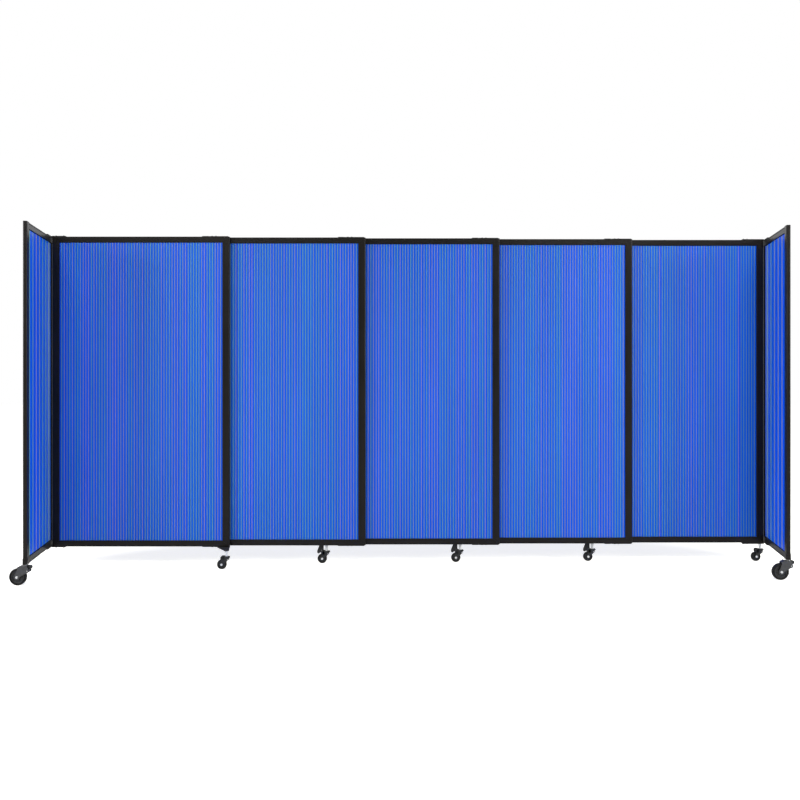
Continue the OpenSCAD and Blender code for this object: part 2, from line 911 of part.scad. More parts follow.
module fork(c) {
    pin = brake_pin(c);
    color(black_nylon)
        fork_body(c);
    color(zinc) {
        // axle with a round head outside each cheek
        translate([axle(c)[0], 0, axle(c)[1]])
            rotate([90, 0, 0]) {
                cylinder(h = 2 * fork_out(c) + 1, d = axle_d, center = true);
                for (side = [-1, 1])
                    translate([0, 0, side * (fork_out(c) + screw_fit + axle_head_t / 2)])
                        cylinder(h = axle_head_t, d = axle_head_d, center = true);
            }
        // brake pin
        translate([pin[0], 0, pin[1]])
            rotate([90, 0, 0])
                cylinder(h = 2 * fork_out(c) + 1, d = brake_pin_d, center = true);
    }
}

// Wheel turned about its axle: rounded tread, thinner web and a full-width hub
module wheel(c) {
    r = c[0];
    half = c[1] / 2;
    tread = tread_share * r;
    edge = edge_share * r;
    web_half = 0.35 * half;
    hub_r = axle_d / 2 + 0.16 * r;
    color(black_nylon)
        translate([axle(c)[0], 0, axle(c)[1]])
            rotate([90, 0, 0])
                rotate_extrude()
                    difference() {
                        union() {
                            translate([0, -half])
                                square([hub_r, 2 * half]);
                            translate([0, -web_half])
                                square([r - tread / 2, 2 * web_half]);
                            translate([r - tread, -half])
                                square([tread - edge, 2 * half]);
                            translate([r - tread, edge - half])
                                square([tread, 2 * (half - edge)]);
                            for (y = [edge - half, half - edge])
                                translate([r - edge, y])
                                    circle(edge);
                        }
                        translate([-over, -half - over])
                            square([over + axle_d / 2 + pin_fit, 2 * half + 2 * over]);
                    }
}

// A plate in the x-z plane, its middle at y = 0
module middle_plate(depth) {
    translate([0, -depth / 2, 0])
        upright_plate(depth)
            children();
}

// Brake pedal: barrel on its pin, a nose towards the tread and a narrower round toe
module brake(c) {
    r = c[0];
    width = c[1] + 2 * wheel_gap - 2 * pedal_gap;
    barrel_r = brake_pin_d / 2 + 0.11 * r;
    nose_t = 0.16 * r;
    toe_r = toe_share * r;
    toe = [0.2 * r, 0.42 * r];
    side = [toe[1], -toe[0]] / norm(toe);
    color(black_nylon)
        translate([brake_pin(c)[0], 0, brake_pin(c)[1]])
            difference() {
                union() {
                    middle_plate(width) {
                        circle(barrel_r);
                        rotate(brake_aim(c) + brake_travel)
                            translate([0, -nose_t / 2])
                                square([brake_reach(c), nose_t]);
                    }
                    middle_plate(toe_w_share * width) {
                        polygon([0.9 * barrel_r * side, toe + toe_r * side,
                            toe - toe_r * side, -screw_fit * side]);
                        translate(toe)
                            circle(toe_r);
                    }
                }
                middle_plate(width + 2 * over)
                    circle(brake_pin_d / 2 + pin_fit);
            }
}

// ---------- Where each caster stands ----------

module at_panel_caster(n, x, y) {
    at_panel(n)
        translate([x, y, -frame_z])
            children();
}

module at_caster(name) {
    if (name == "panel_1")
        at_panel_caster(1, panel_w, -arm_reach)
            children();
    if (name == "panel_3")
        at_panel_caster(3, left_stem_in, mid_y)
            children();
    if (name == "panel_4")
        at_panel_caster(4, left_stem_in, mid_y)
            children();
    if (name == "panel_5_left")
        at_panel_caster(5, left_stem_in, mid_y)
            children();
    if (name == "panel_5_right")
        at_panel_caster(5, panel_w - right_stem_in, mid_y)
            children();
    if (name == "left_wing")
        translate(left_caster())
            children();
    if (name == "right_wing")
        translate(right_caster())
            children();
}

// A wing's caster stands under the middle of its outer post
caster_u = wing_w - stile_w / 2 - pin_in;
function left_caster() = [
    run_x - hinge_x(left_turn) + caster_u * sin(left_turn),
    run_y + hinge_y(left_turn) - caster_u * cos(left_turn),
    0
];
function right_caster() = [
    run_x + run_w + hinge_x(right_turn) - caster_u * sin(right_turn),
    run_y + (panels - 1) * step_y + hinge_y(right_turn) - caster_u * cos(right_turn),
    0
];

// ---------- Nodes ----------

module panel_1_frame() { panel_frame(1); }
module panel_2_frame() { panel_frame(2); }
module panel_3_frame() { panel_frame(3); }
module panel_4_frame() { panel_frame(4); }
module panel_5_frame() { panel_frame(5); }
module panel_1_sheet() { panel_sheet(1); }
module panel_2_sheet() { panel_sheet(2); }
module panel_3_sheet() { panel_sheet(3); }
module panel_4_sheet() { panel_sheet(4); }
module panel_5_sheet() { panel_sheet(5); }
module panel_1_brackets() { panel_brackets(1); }
module panel_2_brackets() { panel_brackets(2); }
module panel_3_brackets() { panel_brackets(3); }
module panel_4_brackets() { panel_brackets(4); }
module panel_5_brackets() { panel_brackets(5); }
module panel_1_glides() { panel_glides(1); }
module panel_2_glides() { panel_glides(2); }
module panel_3_glides() { panel_glides(3); }
module panel_4_glides() { panel_glides(4); }
module panel_5_glides() { panel_glides(5); }
module panel_1_hinge_straps() {
    at_left_corner()
        hinge_straps(left_turn, strap_l, first_strap_screws(), 0);
}
module panel_5_hinge_straps() {
    at_right_corner()
        hinge_straps(right_turn, last_strap_l, [for (x = last_strap_screws()) panel_w - x],
            mount_t);
}
module left_wing_frame() { at_left_corner() wing_place(left_turn) wing_frame(); }
module left_wing_sheet() { at_left_corner() wing_place(left_turn) wing_sheet(); }
module left_wing_hinges() { at_left_corner() wing_place(left_turn) wing_hinges(); }
module right_wing_frame() { at_right_corner() wing_place(right_turn) wing_frame(); }
module right_wing_sheet() { at_right_corner() wing_place(right_turn) wing_sheet(); }
module right_wing_hinges() { at_right_corner() wing_place(right_turn) wing_hinges(); }

module panel_1_caster_arm() { caster_arm(); }
module left_caster_plate(n) {
    at_panel(n)
        color(black_coat)
            left_mount();
}
module panel_3_caster_plate() { left_caster_plate(3); }
module panel_4_caster_plate() { left_caster_plate(4); }
module panel_5_caster_plates() {
    left_caster_plate(5);
    at_panel(5)
        color(black_coat)
            right_mount();
}

module panel_1_stem() {
    color(zinc)
        at_caster("panel_1")
            small_stem(frame_z - plate_t - mount_t, boss_h - 2);
}
module left_stem(name) {
    color(zinc)
        at_caster(name)
            small_stem(frame_z - mount_t, mount_t + spigot_l - slide_fit);
}
module panel_3_stem() { left_stem("panel_3"); }
module panel_4_stem() { left_stem("panel_4"); }
module panel_5_stems() {
    left_stem("panel_5_left");
    color(zinc)
        at_caster("panel_5_right")
            small_stem(frame_z - strap_t - mount_t, mount_t - 2 * slide_fit);
}
module left_wing_stem() { at_left_corner() wing_place(left_turn) wing_stem(); }
module right_wing_stem() { at_right_corner() wing_place(right_turn) wing_stem(); }

module panel_1_fork() { at_caster("panel_1") fork(small); }
module panel_1_wheel() { at_caster("panel_1") wheel(small); }
module panel_1_brake() { at_caster("panel_1") brake(small); }
module panel_3_fork() { at_caster("panel_3") fork(small); }
module panel_3_wheel() { at_caster("panel_3") wheel(small); }
module panel_3_brake() { at_caster("panel_3") brake(small); }
module panel_4_fork() { at_caster("panel_4") fork(small); }
module panel_4_wheel() { at_caster("panel_4") wheel(small); }
module panel_4_brake() { at_caster("panel_4") brake(small); }
module panel_5_left_fork() { at_caster("panel_5_left") fork(small); }
module panel_5_left_wheel() { at_caster("panel_5_left") wheel(small); }
module panel_5_left_brake() { at_caster("panel_5_left") brake(small); }
module panel_5_right_fork() { at_caster("panel_5_right") fork(small); }
module panel_5_right_wheel() { at_caster("panel_5_right") wheel(small); }
module panel_5_right_brake() { at_caster("panel_5_right") brake(small); }
module left_wing_fork() { at_caster("left_wing") fork(large); }
module left_wing_wheel() { at_caster("left_wing") wheel(large); }
module left_wing_brake() { at_caster("left_wing") brake(large); }
module right_wing_fork() { at_caster("right_wing") fork(large); }
module right_wing_wheel() { at_caster("right_wing") wheel(large); }
module right_wing_brake() { at_caster("right_wing") brake(large); }

panel_1_frame();
panel_2_frame();
panel_3_frame();
panel_4_frame();
panel_5_frame();
panel_1_sheet();
panel_2_sheet();
panel_3_sheet();
panel_4_sheet();
panel_5_sheet();
panel_1_brackets();
panel_2_brackets();
panel_3_brackets();
panel_4_brackets();
panel_5_brackets();
panel_1_glides();
panel_2_glides();
panel_3_glides();
panel_4_glides();
panel_5_glides();
panel_1_hinge_straps();
panel_5_hinge_straps();
left_wing_frame();
left_wing_sheet();
left_wing_hinges();
right_wing_frame();
right_wing_sheet();
right_wing_hinges();
panel_1_caster_arm();
panel_3_caster_plate();
panel_4_caster_plate();
panel_5_caster_plates();
panel_1_stem();
panel_3_stem();
panel_4_stem();
panel_5_stems();
left_wing_stem();
right_wing_stem();
panel_1_fork();
panel_1_wheel();
panel_1_brake();
panel_3_fork();
panel_3_wheel();
panel_3_brake();
panel_4_fork();
panel_4_wheel();
panel_4_brake();
panel_5_left_fork();
panel_5_left_wheel();
panel_5_left_brake();
panel_5_right_fork();
panel_5_right_wheel();
panel_5_right_brake();
left_wing_fork();
left_wing_wheel();
left_wing_brake();
right_wing_fork();
right_wing_wheel();
right_wing_brake();
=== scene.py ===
"""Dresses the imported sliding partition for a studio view, laid out as an add-on."""

import json
import math

import bmesh
import bpy
from bpy.props import FloatProperty, FloatVectorProperty, IntProperty, PointerProperty
from mathutils import Matrix, Vector


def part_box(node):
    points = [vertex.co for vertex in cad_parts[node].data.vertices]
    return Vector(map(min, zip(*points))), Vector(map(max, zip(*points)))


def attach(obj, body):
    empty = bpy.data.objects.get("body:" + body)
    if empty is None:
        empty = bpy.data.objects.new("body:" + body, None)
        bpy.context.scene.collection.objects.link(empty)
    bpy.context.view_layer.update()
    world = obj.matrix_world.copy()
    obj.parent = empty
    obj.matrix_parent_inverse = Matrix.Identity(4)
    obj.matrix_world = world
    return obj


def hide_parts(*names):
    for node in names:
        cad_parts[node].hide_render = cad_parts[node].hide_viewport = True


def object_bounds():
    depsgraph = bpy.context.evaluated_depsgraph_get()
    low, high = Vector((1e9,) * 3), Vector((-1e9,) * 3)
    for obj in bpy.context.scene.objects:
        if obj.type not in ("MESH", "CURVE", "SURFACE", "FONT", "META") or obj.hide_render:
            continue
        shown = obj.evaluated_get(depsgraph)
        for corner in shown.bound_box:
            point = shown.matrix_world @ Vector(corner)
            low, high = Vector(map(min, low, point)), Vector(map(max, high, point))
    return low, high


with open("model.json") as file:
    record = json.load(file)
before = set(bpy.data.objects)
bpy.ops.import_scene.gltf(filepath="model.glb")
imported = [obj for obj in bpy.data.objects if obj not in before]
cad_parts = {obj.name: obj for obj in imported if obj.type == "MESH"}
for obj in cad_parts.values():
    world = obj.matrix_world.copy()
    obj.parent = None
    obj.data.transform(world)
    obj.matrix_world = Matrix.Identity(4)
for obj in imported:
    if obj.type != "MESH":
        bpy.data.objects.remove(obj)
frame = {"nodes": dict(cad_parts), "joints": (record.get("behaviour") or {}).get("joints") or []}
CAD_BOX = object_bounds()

bl_info = {
    "name": "Sliding partition",
    "version": (1, 0, 0),
    "blender": (4, 5, 0),
    "location": "3D View > Sidebar > Partition",
    "description": "Builds the sheets, profiles, casters and finishes of a sliding partition",
    "category": "Object",
}

MM = 0.001
PANELS = (1, 2, 3, 4, 5)
WINGS = ("left_wing", "right_wing")
# flutes to a stripe, and how much the sheet's colour is brightened, on the wings: painted light for
# the backdrop's light that a real sheet lets through
WING_STRIPES_AND_PAINTED_LIGHT = {"left_wing": (4, 1.45), "right_wing": (5, 1.45)}
CASTERS = (
    "panel_1", "panel_3", "panel_4", "panel_5_left", "panel_5_right", "left_wing", "right_wing",
)
JOINTS = {joint["name"]: joint for joint in frame["joints"]}


def linear(code):
    """Linear light of an sRGB hex colour, with a full alpha."""
    parts = [int(code[i:i + 2], 16) / 255 for i in (1, 3, 5)]
    parts = [p / 12.92 if p <= 0.04045 else ((p + 0.055) / 1.055) ** 2.4 for p in parts]
    return (*parts, 1.0)


# ---------- What a user would change ----------

def length(name, about, value, low=0.0):
    """A length in metres with a value given in millimetres."""
    return FloatProperty(
        name=name, description=about, default=value * MM, min=low, max=10.0,
        precision=4, subtype="DISTANCE", unit="LENGTH",
    )


def angle(name, about, value):
    """An angle in radians with a value given in degrees."""
    return FloatProperty(
        name=name, description=about, default=math.radians(value), subtype="ANGLE",
        unit="ROTATION",
    )


def number(name, about, value, low, high, **kind):
    """A number that is neither a length nor an angle."""
    return FloatProperty(name=name, description=about, default=value, min=low, max=high, **kind)


def share(name, about, value, low, high):
    """A share of a wheel's radius."""
    return number(name, about, value, low, high, subtype="FACTOR")


def count(name, about, value, low, high):
    """A whole number."""
    return IntProperty(name=name, description=about, default=value, min=low, max=high)


def tint(name, about, code):
    """A colour of a finish."""
    return FloatVectorProperty(
        name=name, description=about, default=linear(code), size=4, min=0.0, max=1.0,
        subtype="COLOR",
    )


class SheetSizes(bpy.types.PropertyGroup):
    """Sizes of the fluted sheets and their gaskets"""

    pitch: length("Flute pitch", "Distance from one web to the next", 17)
    web: length("Web", "Thickness of a web", 0.8)
    relief: length("Relief", "How far each skin sinks in over a web", 0.5)
    gasket: length("Gasket", "Thickness of the gasket's visible lip", 2.6)


class WingSizes(bpy.types.PropertyGroup):
    """Where the end wings stand and how their frames are made"""

    left_turn: angle("Left turn", "Turn of the left wing past square", 9.5)
    right_turn: angle("Right turn", "Turn of the right wing past square", 11.5)
    width: length("Width", "Width of a wing", 560)
    depth: length("Depth", "Depth of the frame profiles", 24)
    post: length("Post", "Face width of the outer post", 44)
    slim: length("Slim upright", "Face width of the upright beside the hinge", 30)
    rail: length("Rail", "Face height of the rails", 35)
    grip: length("Grip", "How deep the sheet sits in its channels", 10)
    # the strips are dark rubber in the rails' grooves: cover strips that also paint the grooves'
    # shade
    strip: length("Strip", "Face height of the strips that fill the rails' grooves", 8)
    strip_in: length("Strip inset", "From a rail's outer edge to its strip", 1.2)
    strip_out: length("Strip height", "How far a strip stands out of its groove", 0.6)


class EdgeSizes(bpy.types.PropertyGroup):
    """Roundings of the worked edges"""

    profile: length("Profile edges", "Rounding of the extruded profiles' edges", 0.5)
    plate: length("Plate edges", "Rounding of the plates' edges", 0.5)
    casting: length("Moulded edges", "Rounding of the casters' moulded edges", 1.0)
    core: length("Core edges", "Rounding of the wheel cores' and groove strips' edges", 0.4)
    axle: length("Axle edges", "Rounding of the axles' and brake pins' edges", 0.3)


class CasterSizes(bpy.types.PropertyGroup):
    """Proportions of the wheels, as shares of their radius, and of the small hardware"""

    tyre: share("Tyre", "Inner radius of the tyre over its outer radius", 0.74, 0.5, 0.9)
    hub: share("Hub", "Radius of the hub over the wheel's radius", 0.3, 0.2, 0.5)
    ribs: count("Ribs", "Number of ribs on each side of a wheel", 6, 3, 12)
    toe: share("Toe", "Radius of the pedal's toe over the wheel's radius", 0.24, 0.1, 0.4)
    toe_out: share("Toe out", "Toe ahead of the pedal's pin, over the wheel's radius", 0.2, 0.0, 0.6)
    toe_up: share("Toe up", "Toe above the pedal's pin, over the wheel's radius", 0.42, 0.2, 0.8)
    grooves: count("Grooves", "Number of grooves round the pedal's toe", 14, 6, 24)
    axle_head: length("Axle head", "Diameter of the axle's bright heads", 14)
    screw_head: length("Screw head", "Diameter of the screws' heads", 9)
    socket: length("Socket", "Width across the flats of the screws' sockets", 3.6)


class Finishes(bpy.types.PropertyGroup):
    """Colours of the finishes"""

    blue: tint("Blue", "Clear stretches of the fluted sheet", "#004dd6")
    azure: tint("Azure", "Greener clear stretches of the sheet", "#005ace")
    slate: tint("Slate", "Stretches of the sheet over its webs", "#668892")
    violet: tint("Violet", "Redder stretches over the webs", "#7e7ea6")
    teal: tint("Teal", "Greener stretches over the webs", "#5e918c")
    anodised: tint("Black anodising", "Extruded profiles", "#201e1d")
    coat: tint("Black powder coat", "Plates, straps and castings", "#111112")
    # lighter than the black coat: painted light that makes up for the shade under the frames, on
    # parts that are dark powder coated
    mount: tint("Charcoal powder coat", "Arm, plates and guards that hold the casters", "#2c2c2e")
    nylon: tint("Black nylon", "Small forks and wheel cores, and all pedals", "#252628")
    # lighter than the black nylon, so that a large core's rim shows as a bright ring between tyre and
    # hub: a painted highlight on the core's own dark nylon
    charcoal: tint("Charcoal nylon", "Large wheel cores", "#2b2c2e")
    grey: tint("Grey nylon", "Large forks", "#3d3e41")
    rubber: tint("Rubber", "Tyres and gaskets", "#0b0b0c")
    zinc: tint("Zinc", "Stems, axles and pins", "#eef0f2")
    natural: tint("Natural nylon", "Glides", "#dcdcd6")


class StageSizes(bpy.types.PropertyGroup):
    """Camera, light and floor"""

    camera_x: length("Camera x", "Camera to the right of the origin", -77, -10.0)
    camera_y: length("Camera y", "Camera behind the origin", -4844, -20.0)
    camera_z: length("Camera z", "Camera above the floor", 1183)
    lens: number("Lens", "Focal length in millimetres", 35.685, 10, 200)
    rise: number("Rise", "Vertical shift of the view", -0.0275, -0.2, 0.2)
    glow: number("Glow", "Glow of the floor that only the camera sees", 0.59, 0.0, 1.0)
    ambient: number("Ambient", "Strength of the light from all round", 0.4, 0.0, 2.0)
    walls: number("Side walls", "How much more light comes from the sides", 2.2, 0.0, 4.0)
    softbox: number("Softbox", "Power that each softbox takes its share of", 60.0, 0.0, 2000.0,
                    unit="POWER")


class PartitionSettings(bpy.types.PropertyGroup):
    """Everything that the partition's operators read"""

    sheet: PointerProperty(type=SheetSizes)
    wing: PointerProperty(type=WingSizes)
    edge: PointerProperty(type=EdgeSizes)
    caster: PointerProperty(type=CasterSizes)
    finish: PointerProperty(type=Finishes)
    stage: PointerProperty(type=StageSizes)


def settings():
    """The scene's partition settings."""
    return bpy.context.scene.partition


# ---------- Materials ----------

def add(tree, kind, inputs=(), **values):
    """Adds a node, sets its own values, and sets or links its inputs by name or number."""
    node = tree.nodes.new(kind)
    for key, value in values.items():
        setattr(node, key, value)
    for key, value in dict(inputs).items():
        if isinstance(value, bpy.types.NodeSocket):
            tree.links.new(value, node.inputs[key])
        else:
            node.inputs[key].default_value = value
    return node


def surface(name, bsdf_inputs, build):
    """A material with one principled shader; build adds nodes and returns what they feed."""
    material = bpy.data.materials.get(name)
    if material:
        return material
    material = bpy.data.materials.new(name)
    material.use_nodes = True
    tree = material.node_tree
    tree.nodes.clear()
    shader = add(tree, "ShaderNodeBsdfPrincipled", {**bsdf_inputs, **build(tree)})
    add(tree, "ShaderNodeOutputMaterial", {"Surface": shader.outputs["BSDF"]})
    return material


def speckle(tree, scale, stretch=(1.0, 1.0, 1.0), detail=2.0):
    """Noise in object space, scale in cells per metre, drawn out along the small factors."""
    place = add(tree, "ShaderNodeTexCoord")
    drawn = add(tree, "ShaderNodeMapping", {"Vector": place.outputs["Object"], "Scale": stretch})
    noise = add(
        tree, "ShaderNodeTexNoise",
        {"Vector": drawn.outputs["Vector"], "Scale": scale, "Detail": detail},
    )
    return noise.outputs["Fac"]


def spread(tree, value, low, high):
    """Maps noise from its usual 0.3 to 0.7 onto low to high."""
    node = add(tree, "ShaderNodeMapRange", {0: value, 1: 0.3, 2: 0.7, 3: low, 4: high})
    return node.outputs[0]


def shade(tree, colour, factor, amount, painted_lift=1.0):
    """The colour times lift, its lightness swung by factor from 1 - amount to 1 + amount."""
    swing = spread(tree, factor, painted_lift * (1 - amount), painted_lift * (1 + amount))
    node = add(
        tree, "ShaderNodeMix", {0: 1.0, 6: colour, 7: swing}, data_type="RGBA",
        blend_type="MULTIPLY",
    )
    return node.outputs[2]


def bump(tree, height, depth, strength):
    """Normals of a relief of that depth in metres, mixed in by strength."""
    node = add(
        tree, "ShaderNodeBump", {"Height": height, "Distance": depth, "Strength": strength}
    )
    return node.outputs["Normal"]


def anodised_aluminium(axis):
    """Extruded aluminium, satin black anodised: dark metal whose rounded edges catch the
    light, with faint die lines along the bar. Die lines are some 0.1 mm apart; drawn 1.5 mm
    apart, so that they show."""
    stretch = [1.0, 1.0, 1.0]
    stretch["XYZ".index(axis)] = 0.004

    def build(tree):
        lines = speckle(tree, 650.0, stretch, 3.0)
        return {
            "Base Color": shade(tree, settings().finish.anodised[:], speckle(tree, 6.0), 0.12),
            "Roughness": spread(tree, lines, 0.27, 0.4),
            "Normal": bump(tree, lines, 0.00003, 0.5),
        }

    # the dyed oxide skin hides most of the metal
    return surface(
        f"black_anodised_aluminium_{axis.lower()}",
        {"Metallic": 0.35, "IOR": 1.6, "Specular IOR Level": 0.2}, build,
    )


def powder_coat(tone="coat"):
    """Steel with a dull dark powder coat: fine orange peel that breaks up its highlights.
    Orange peel is about 1 mm across; drawn 1.2 mm."""
    def build(tree):
        colour = getattr(settings().finish, tone)[:]
        return {
            "Base Color": shade(tree, colour, speckle(tree, 30.0), 0.2),
            "Roughness": spread(tree, speckle(tree, 60.0), 0.5, 0.64),
            "Normal": bump(tree, speckle(tree, 830.0), 0.00004, 0.6),
        }

    # the caster mounts' lighter tone is painted light against the shade under the frames
    name = "black_powder_coated_steel" if tone == "coat" else "charcoal_powder_coated_steel"
    return surface(name, {"Specular IOR Level": 0.25}, build)


def moulded_nylon(tone="nylon"):
    """Glass-filled nylon, moulded in a spark-eroded tool: dull, dark and slightly mottled.
    The grain is about 0.3 mm; drawn 0.8 mm."""
    def build(tree):
        grain = speckle(tree, 1250.0)
        colour = getattr(settings().finish, tone)[:]
        return {
            "Base Color": shade(tree, colour, speckle(tree, 90.0, detail=4.0), 0.25),
            "Roughness": spread(tree, grain, 0.3, 0.46),
            "Normal": bump(tree, grain, 0.00005, 0.5),
        }

    word = "black" if tone == "nylon" else tone
    return surface(f"moulded_{word}_nylon", {"IOR": 1.53}, build)


def soft_rubber():
    """Moulded rubber: matt and nearly black, with grey dust rubbed into it here and there."""
    def build(tree):
        dust = speckle(tree, 45.0, detail=5.0)
        return {
            "Base Color": shade(tree, settings().finish.rubber[:], dust, 0.35),
            "Roughness": spread(tree, dust, 0.4, 0.62),
            "Normal": bump(tree, speckle(tree, 900.0), 0.00004, 0.5),
        }

    return surface("moulded_rubber", {"IOR": 1.52, "Specular IOR Level": 0.25}, build)


def zinc_plate():
    """Turned steel, zinc plated and clear passivated: pale, with only half a metal's shine,
    and a little cloudy. Turning marks are some 0.1 mm apart; drawn 0.7 mm apart."""
    def build(tree):
        cloud = speckle(tree, 140.0, detail=3.0)
        marks = speckle(tree, 1400.0, (0.1, 0.1, 1.0))
        return {
            "Base Color": shade(tree, settings().finish.zinc[:], cloud, 0.08),
            "Roughness": spread(tree, cloud, 0.4, 0.55),
            "Normal": bump(tree, marks, 0.00002, 0.4),
        }

    return surface("zinc_plated_steel", {"Metallic": 0.5}, build)


def natural_nylon():
    """Cut nylon strip: off-white, waxy and faintly see-through."""
    def build(tree):
        cloud = speckle(tree, 120.0, detail=3.0)
        return {
            "Base Color": shade(tree, settings().finish.natural[:], cloud, 0.05),
            "Roughness": spread(tree, cloud, 0.35, 0.5),
        }

    return surface("natural_nylon", {"IOR": 1.53, "Subsurface Weight": 0.1}, build)


def fluted_polycarbonate(span=1, painted_lift=1.0):
    """Extruded twin-wall polycarbonate, tinted blue: clear saturated stretches between the
    webs, greyer ones where the webs scatter the light, each flute a little different. The
    sheet's UV map counts flutes across and metres up. The wings are seen nearly edge-on, where
    single flutes of 17 mm are too fine to draw: there one stripe spans several of them, and
    the lift makes up for the backdrop's light that a real sheet lets through."""
    finish = settings().finish

    def stripes(tree, across):
        """The sheet's colour across its flutes: greyer over the webs, clear between them."""
        place = add(tree, "ShaderNodeMath", {0: across}, operation="FRACT").outputs[0]
        # 0 over a web, 0.5 midway between two webs; grey up to 0.06 and clear from 0.2 on
        fold = add(tree, "ShaderNodeMath", {0: place, 1: 0.5}, operation="PINGPONG").outputs[0]
        clear = add(
            tree, "ShaderNodeMapRange", {0: fold, 1: 0.06, 2: 0.2, 3: 0.0, 4: 1.0},
            interpolation_type="SMOOTHSTEP",
        ).outputs[0]
        flute, web = [
            add(tree, "ShaderNodeMath", {0: across}, operation=way).outputs[0]
            for way in ("FLOOR", "ROUND")
        ]
        luck = [
            add(tree, "ShaderNodeTexWhiteNoise", {"W": value}, noise_dimensions="1D").outputs[0]
            for value in (flute, web)
        ]
        between = add(
            tree, "ShaderNodeMix", {0: luck[0], 6: finish.blue[:], 7: finish.azure[:]},
            data_type="RGBA",
        ).outputs[2]
        over = add(tree, "ShaderNodeValToRGB", {"Fac": luck[1]})
        over.color_ramp.elements[0].color = finish.violet[:]
        over.color_ramp.elements[1].color = finish.teal[:]
        middle = over.color_ramp.elements.new(0.5)
        middle.color = finish.slate[:]
        return add(
            tree, "ShaderNodeMix", {0: clear, 6: over.outputs["Color"], 7: between},
            data_type="RGBA",
        ).outputs[2]

    def build(tree):
        uv = add(tree, "ShaderNodeTexCoord").outputs["UV"]
        across = add(tree, "ShaderNodeSeparateXYZ", {"Vector": uv}).outputs["X"]
        drawn = add(tree, "ShaderNodeMath", {0: across, 1: span}, operation="DIVIDE").outputs[0]
        drift = speckle(tree, 5.0, (1.0, 1.0, 0.15))
        # extrusion lines are some 0.2 mm apart; drawn 2 mm apart
        lines = speckle(tree, 500.0, (1.0, 1.0, 0.003))
        # on the wings the colour is brightened: painted light for the backdrop's light that a real
        # sheet lets through
        return {
            "Base Color": shade(tree, stripes(tree, drawn), drift, 0.05, painted_lift),
            "Roughness": spread(tree, lines, 0.38, 0.5),
            "Normal": bump(tree, lines, 0.00002, 0.4),
        }

    # the wings' material carries that painted light
    name = "fluted_polycarbonate" if span == 1 else f"fluted_polycarbonate_{span}_flutes_a_stripe"
    return surface(name, {"IOR": 1.58, "Specular IOR Level": 0.16}, build)


# ---------- Making pieces ----------

def piece(name, mesh, material, body, replaces=(), place=None):
    """A named piece from a bmesh, riding on a body, in the material."""
    data = bpy.data.meshes.new(name)
    bmesh.ops.recalc_face_normals(mesh, faces=mesh.faces)
    mesh.to_mesh(data)
    mesh.free()
    data.materials.append(material)
    thing = bpy.data.objects.new(name, data)
    if place:
        thing.matrix_world = place
    bpy.context.scene.collection.objects.link(thing)
    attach(thing, body)
    if replaces:
        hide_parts(*replaces)
    return thing


def weigh_normals(thing):
    """Smooth shading that keeps large flat faces flat."""
    thing.data.polygons.foreach_set("use_smooth", [True] * len(thing.data.polygons))
    thing.modifiers.new("Even shading", "WEIGHTED_NORMAL").weight = 70


def cad_solids(node):
    """The solids of a CAD node, each as its own bmesh with flat faces joined up."""
    source = frame["nodes"][node]
    whole = bmesh.new()
    whole.from_mesh(source.data)
    bmesh.ops.remove_doubles(whole, verts=whole.verts, dist=2e-6)
    whole.verts.ensure_lookup_table()
    left = set(whole.verts)
    solids = []
    for seed in whole.verts:
        if seed not in left:
            continue
        left.discard(seed)
        island = [seed]
        for vert in island:
            for edge in vert.link_edges:
                other = edge.other_vert(vert)
                if other in left:
                    left.discard(other)
                    island.append(other)
        index = {vert: i for i, vert in enumerate(island)}
        part = bmesh.new()
        verts = [part.verts.new(vert.co) for vert in island]
        faces = {face for vert in island for face in vert.link_faces}
        for face in sorted(faces, key=lambda f: f.index):
            part.faces.new([verts[index[vert]] for vert in face.verts])
        bmesh.ops.dissolve_limit(
            part, angle_limit=math.radians(0.5), verts=part.verts, edges=part.edges
        )
        solids.append(part)
    whole.free()
    return solids


def extent(part):
    """Lowest corner and size of a bmesh."""
    low = Vector(min(vert.co[i] for vert in part.verts) for i in range(3))
    high = Vector(max(vert.co[i] for vert in part.verts) for i in range(3))
    return low, high - low


def join(parts):
    """All bmeshes as one."""
    whole = bmesh.new()
    for part in parts:
        data = bpy.data.meshes.new("joined")
        part.to_mesh(data)
        part.free()
        whole.from_mesh(data)
        bpy.data.meshes.remove(data)
    return whole


def soften(mesh, width):
    """Rounds every edge that turns by more than 40 degrees."""
    edges = [
        edge for edge in mesh.edges
        if edge.is_manifold and edge.calc_face_angle(0.0) > math.radians(40)
    ]
    bmesh.ops.bevel(
        mesh, geom=edges, offset=width, segments=2, profile=0.5, affect="EDGES",
        clamp_overlap=True,
    )


def worked(name, parts, width, material, body, replaces, place=None):
    """A piece from CAD solids with its edges rounded."""
    mesh = join(parts)
    if place:
        bmesh.ops.transform(mesh, matrix=place.inverted(), verts=mesh.verts)
    soften(mesh, width)
    thing = piece(name, mesh, material, body, replaces, place)
    weigh_normals(thing)
    return thing


def turns(steps):
    """Evenly spread angles of a full turn."""
    return [2 * math.pi * k / steps for k in range(steps)]


def bridge(mesh, a, b):
    """Faces between two rings of vertices, one of which may be a single vertex."""
    around = max(len(a), len(b))
    for k in range(around):
        n = (k + 1) % around
        corners = [a[k % len(a)], a[n % len(a)], b[n % len(b)], b[k % len(b)]]
        mesh.faces.new(list(dict.fromkeys(corners)))


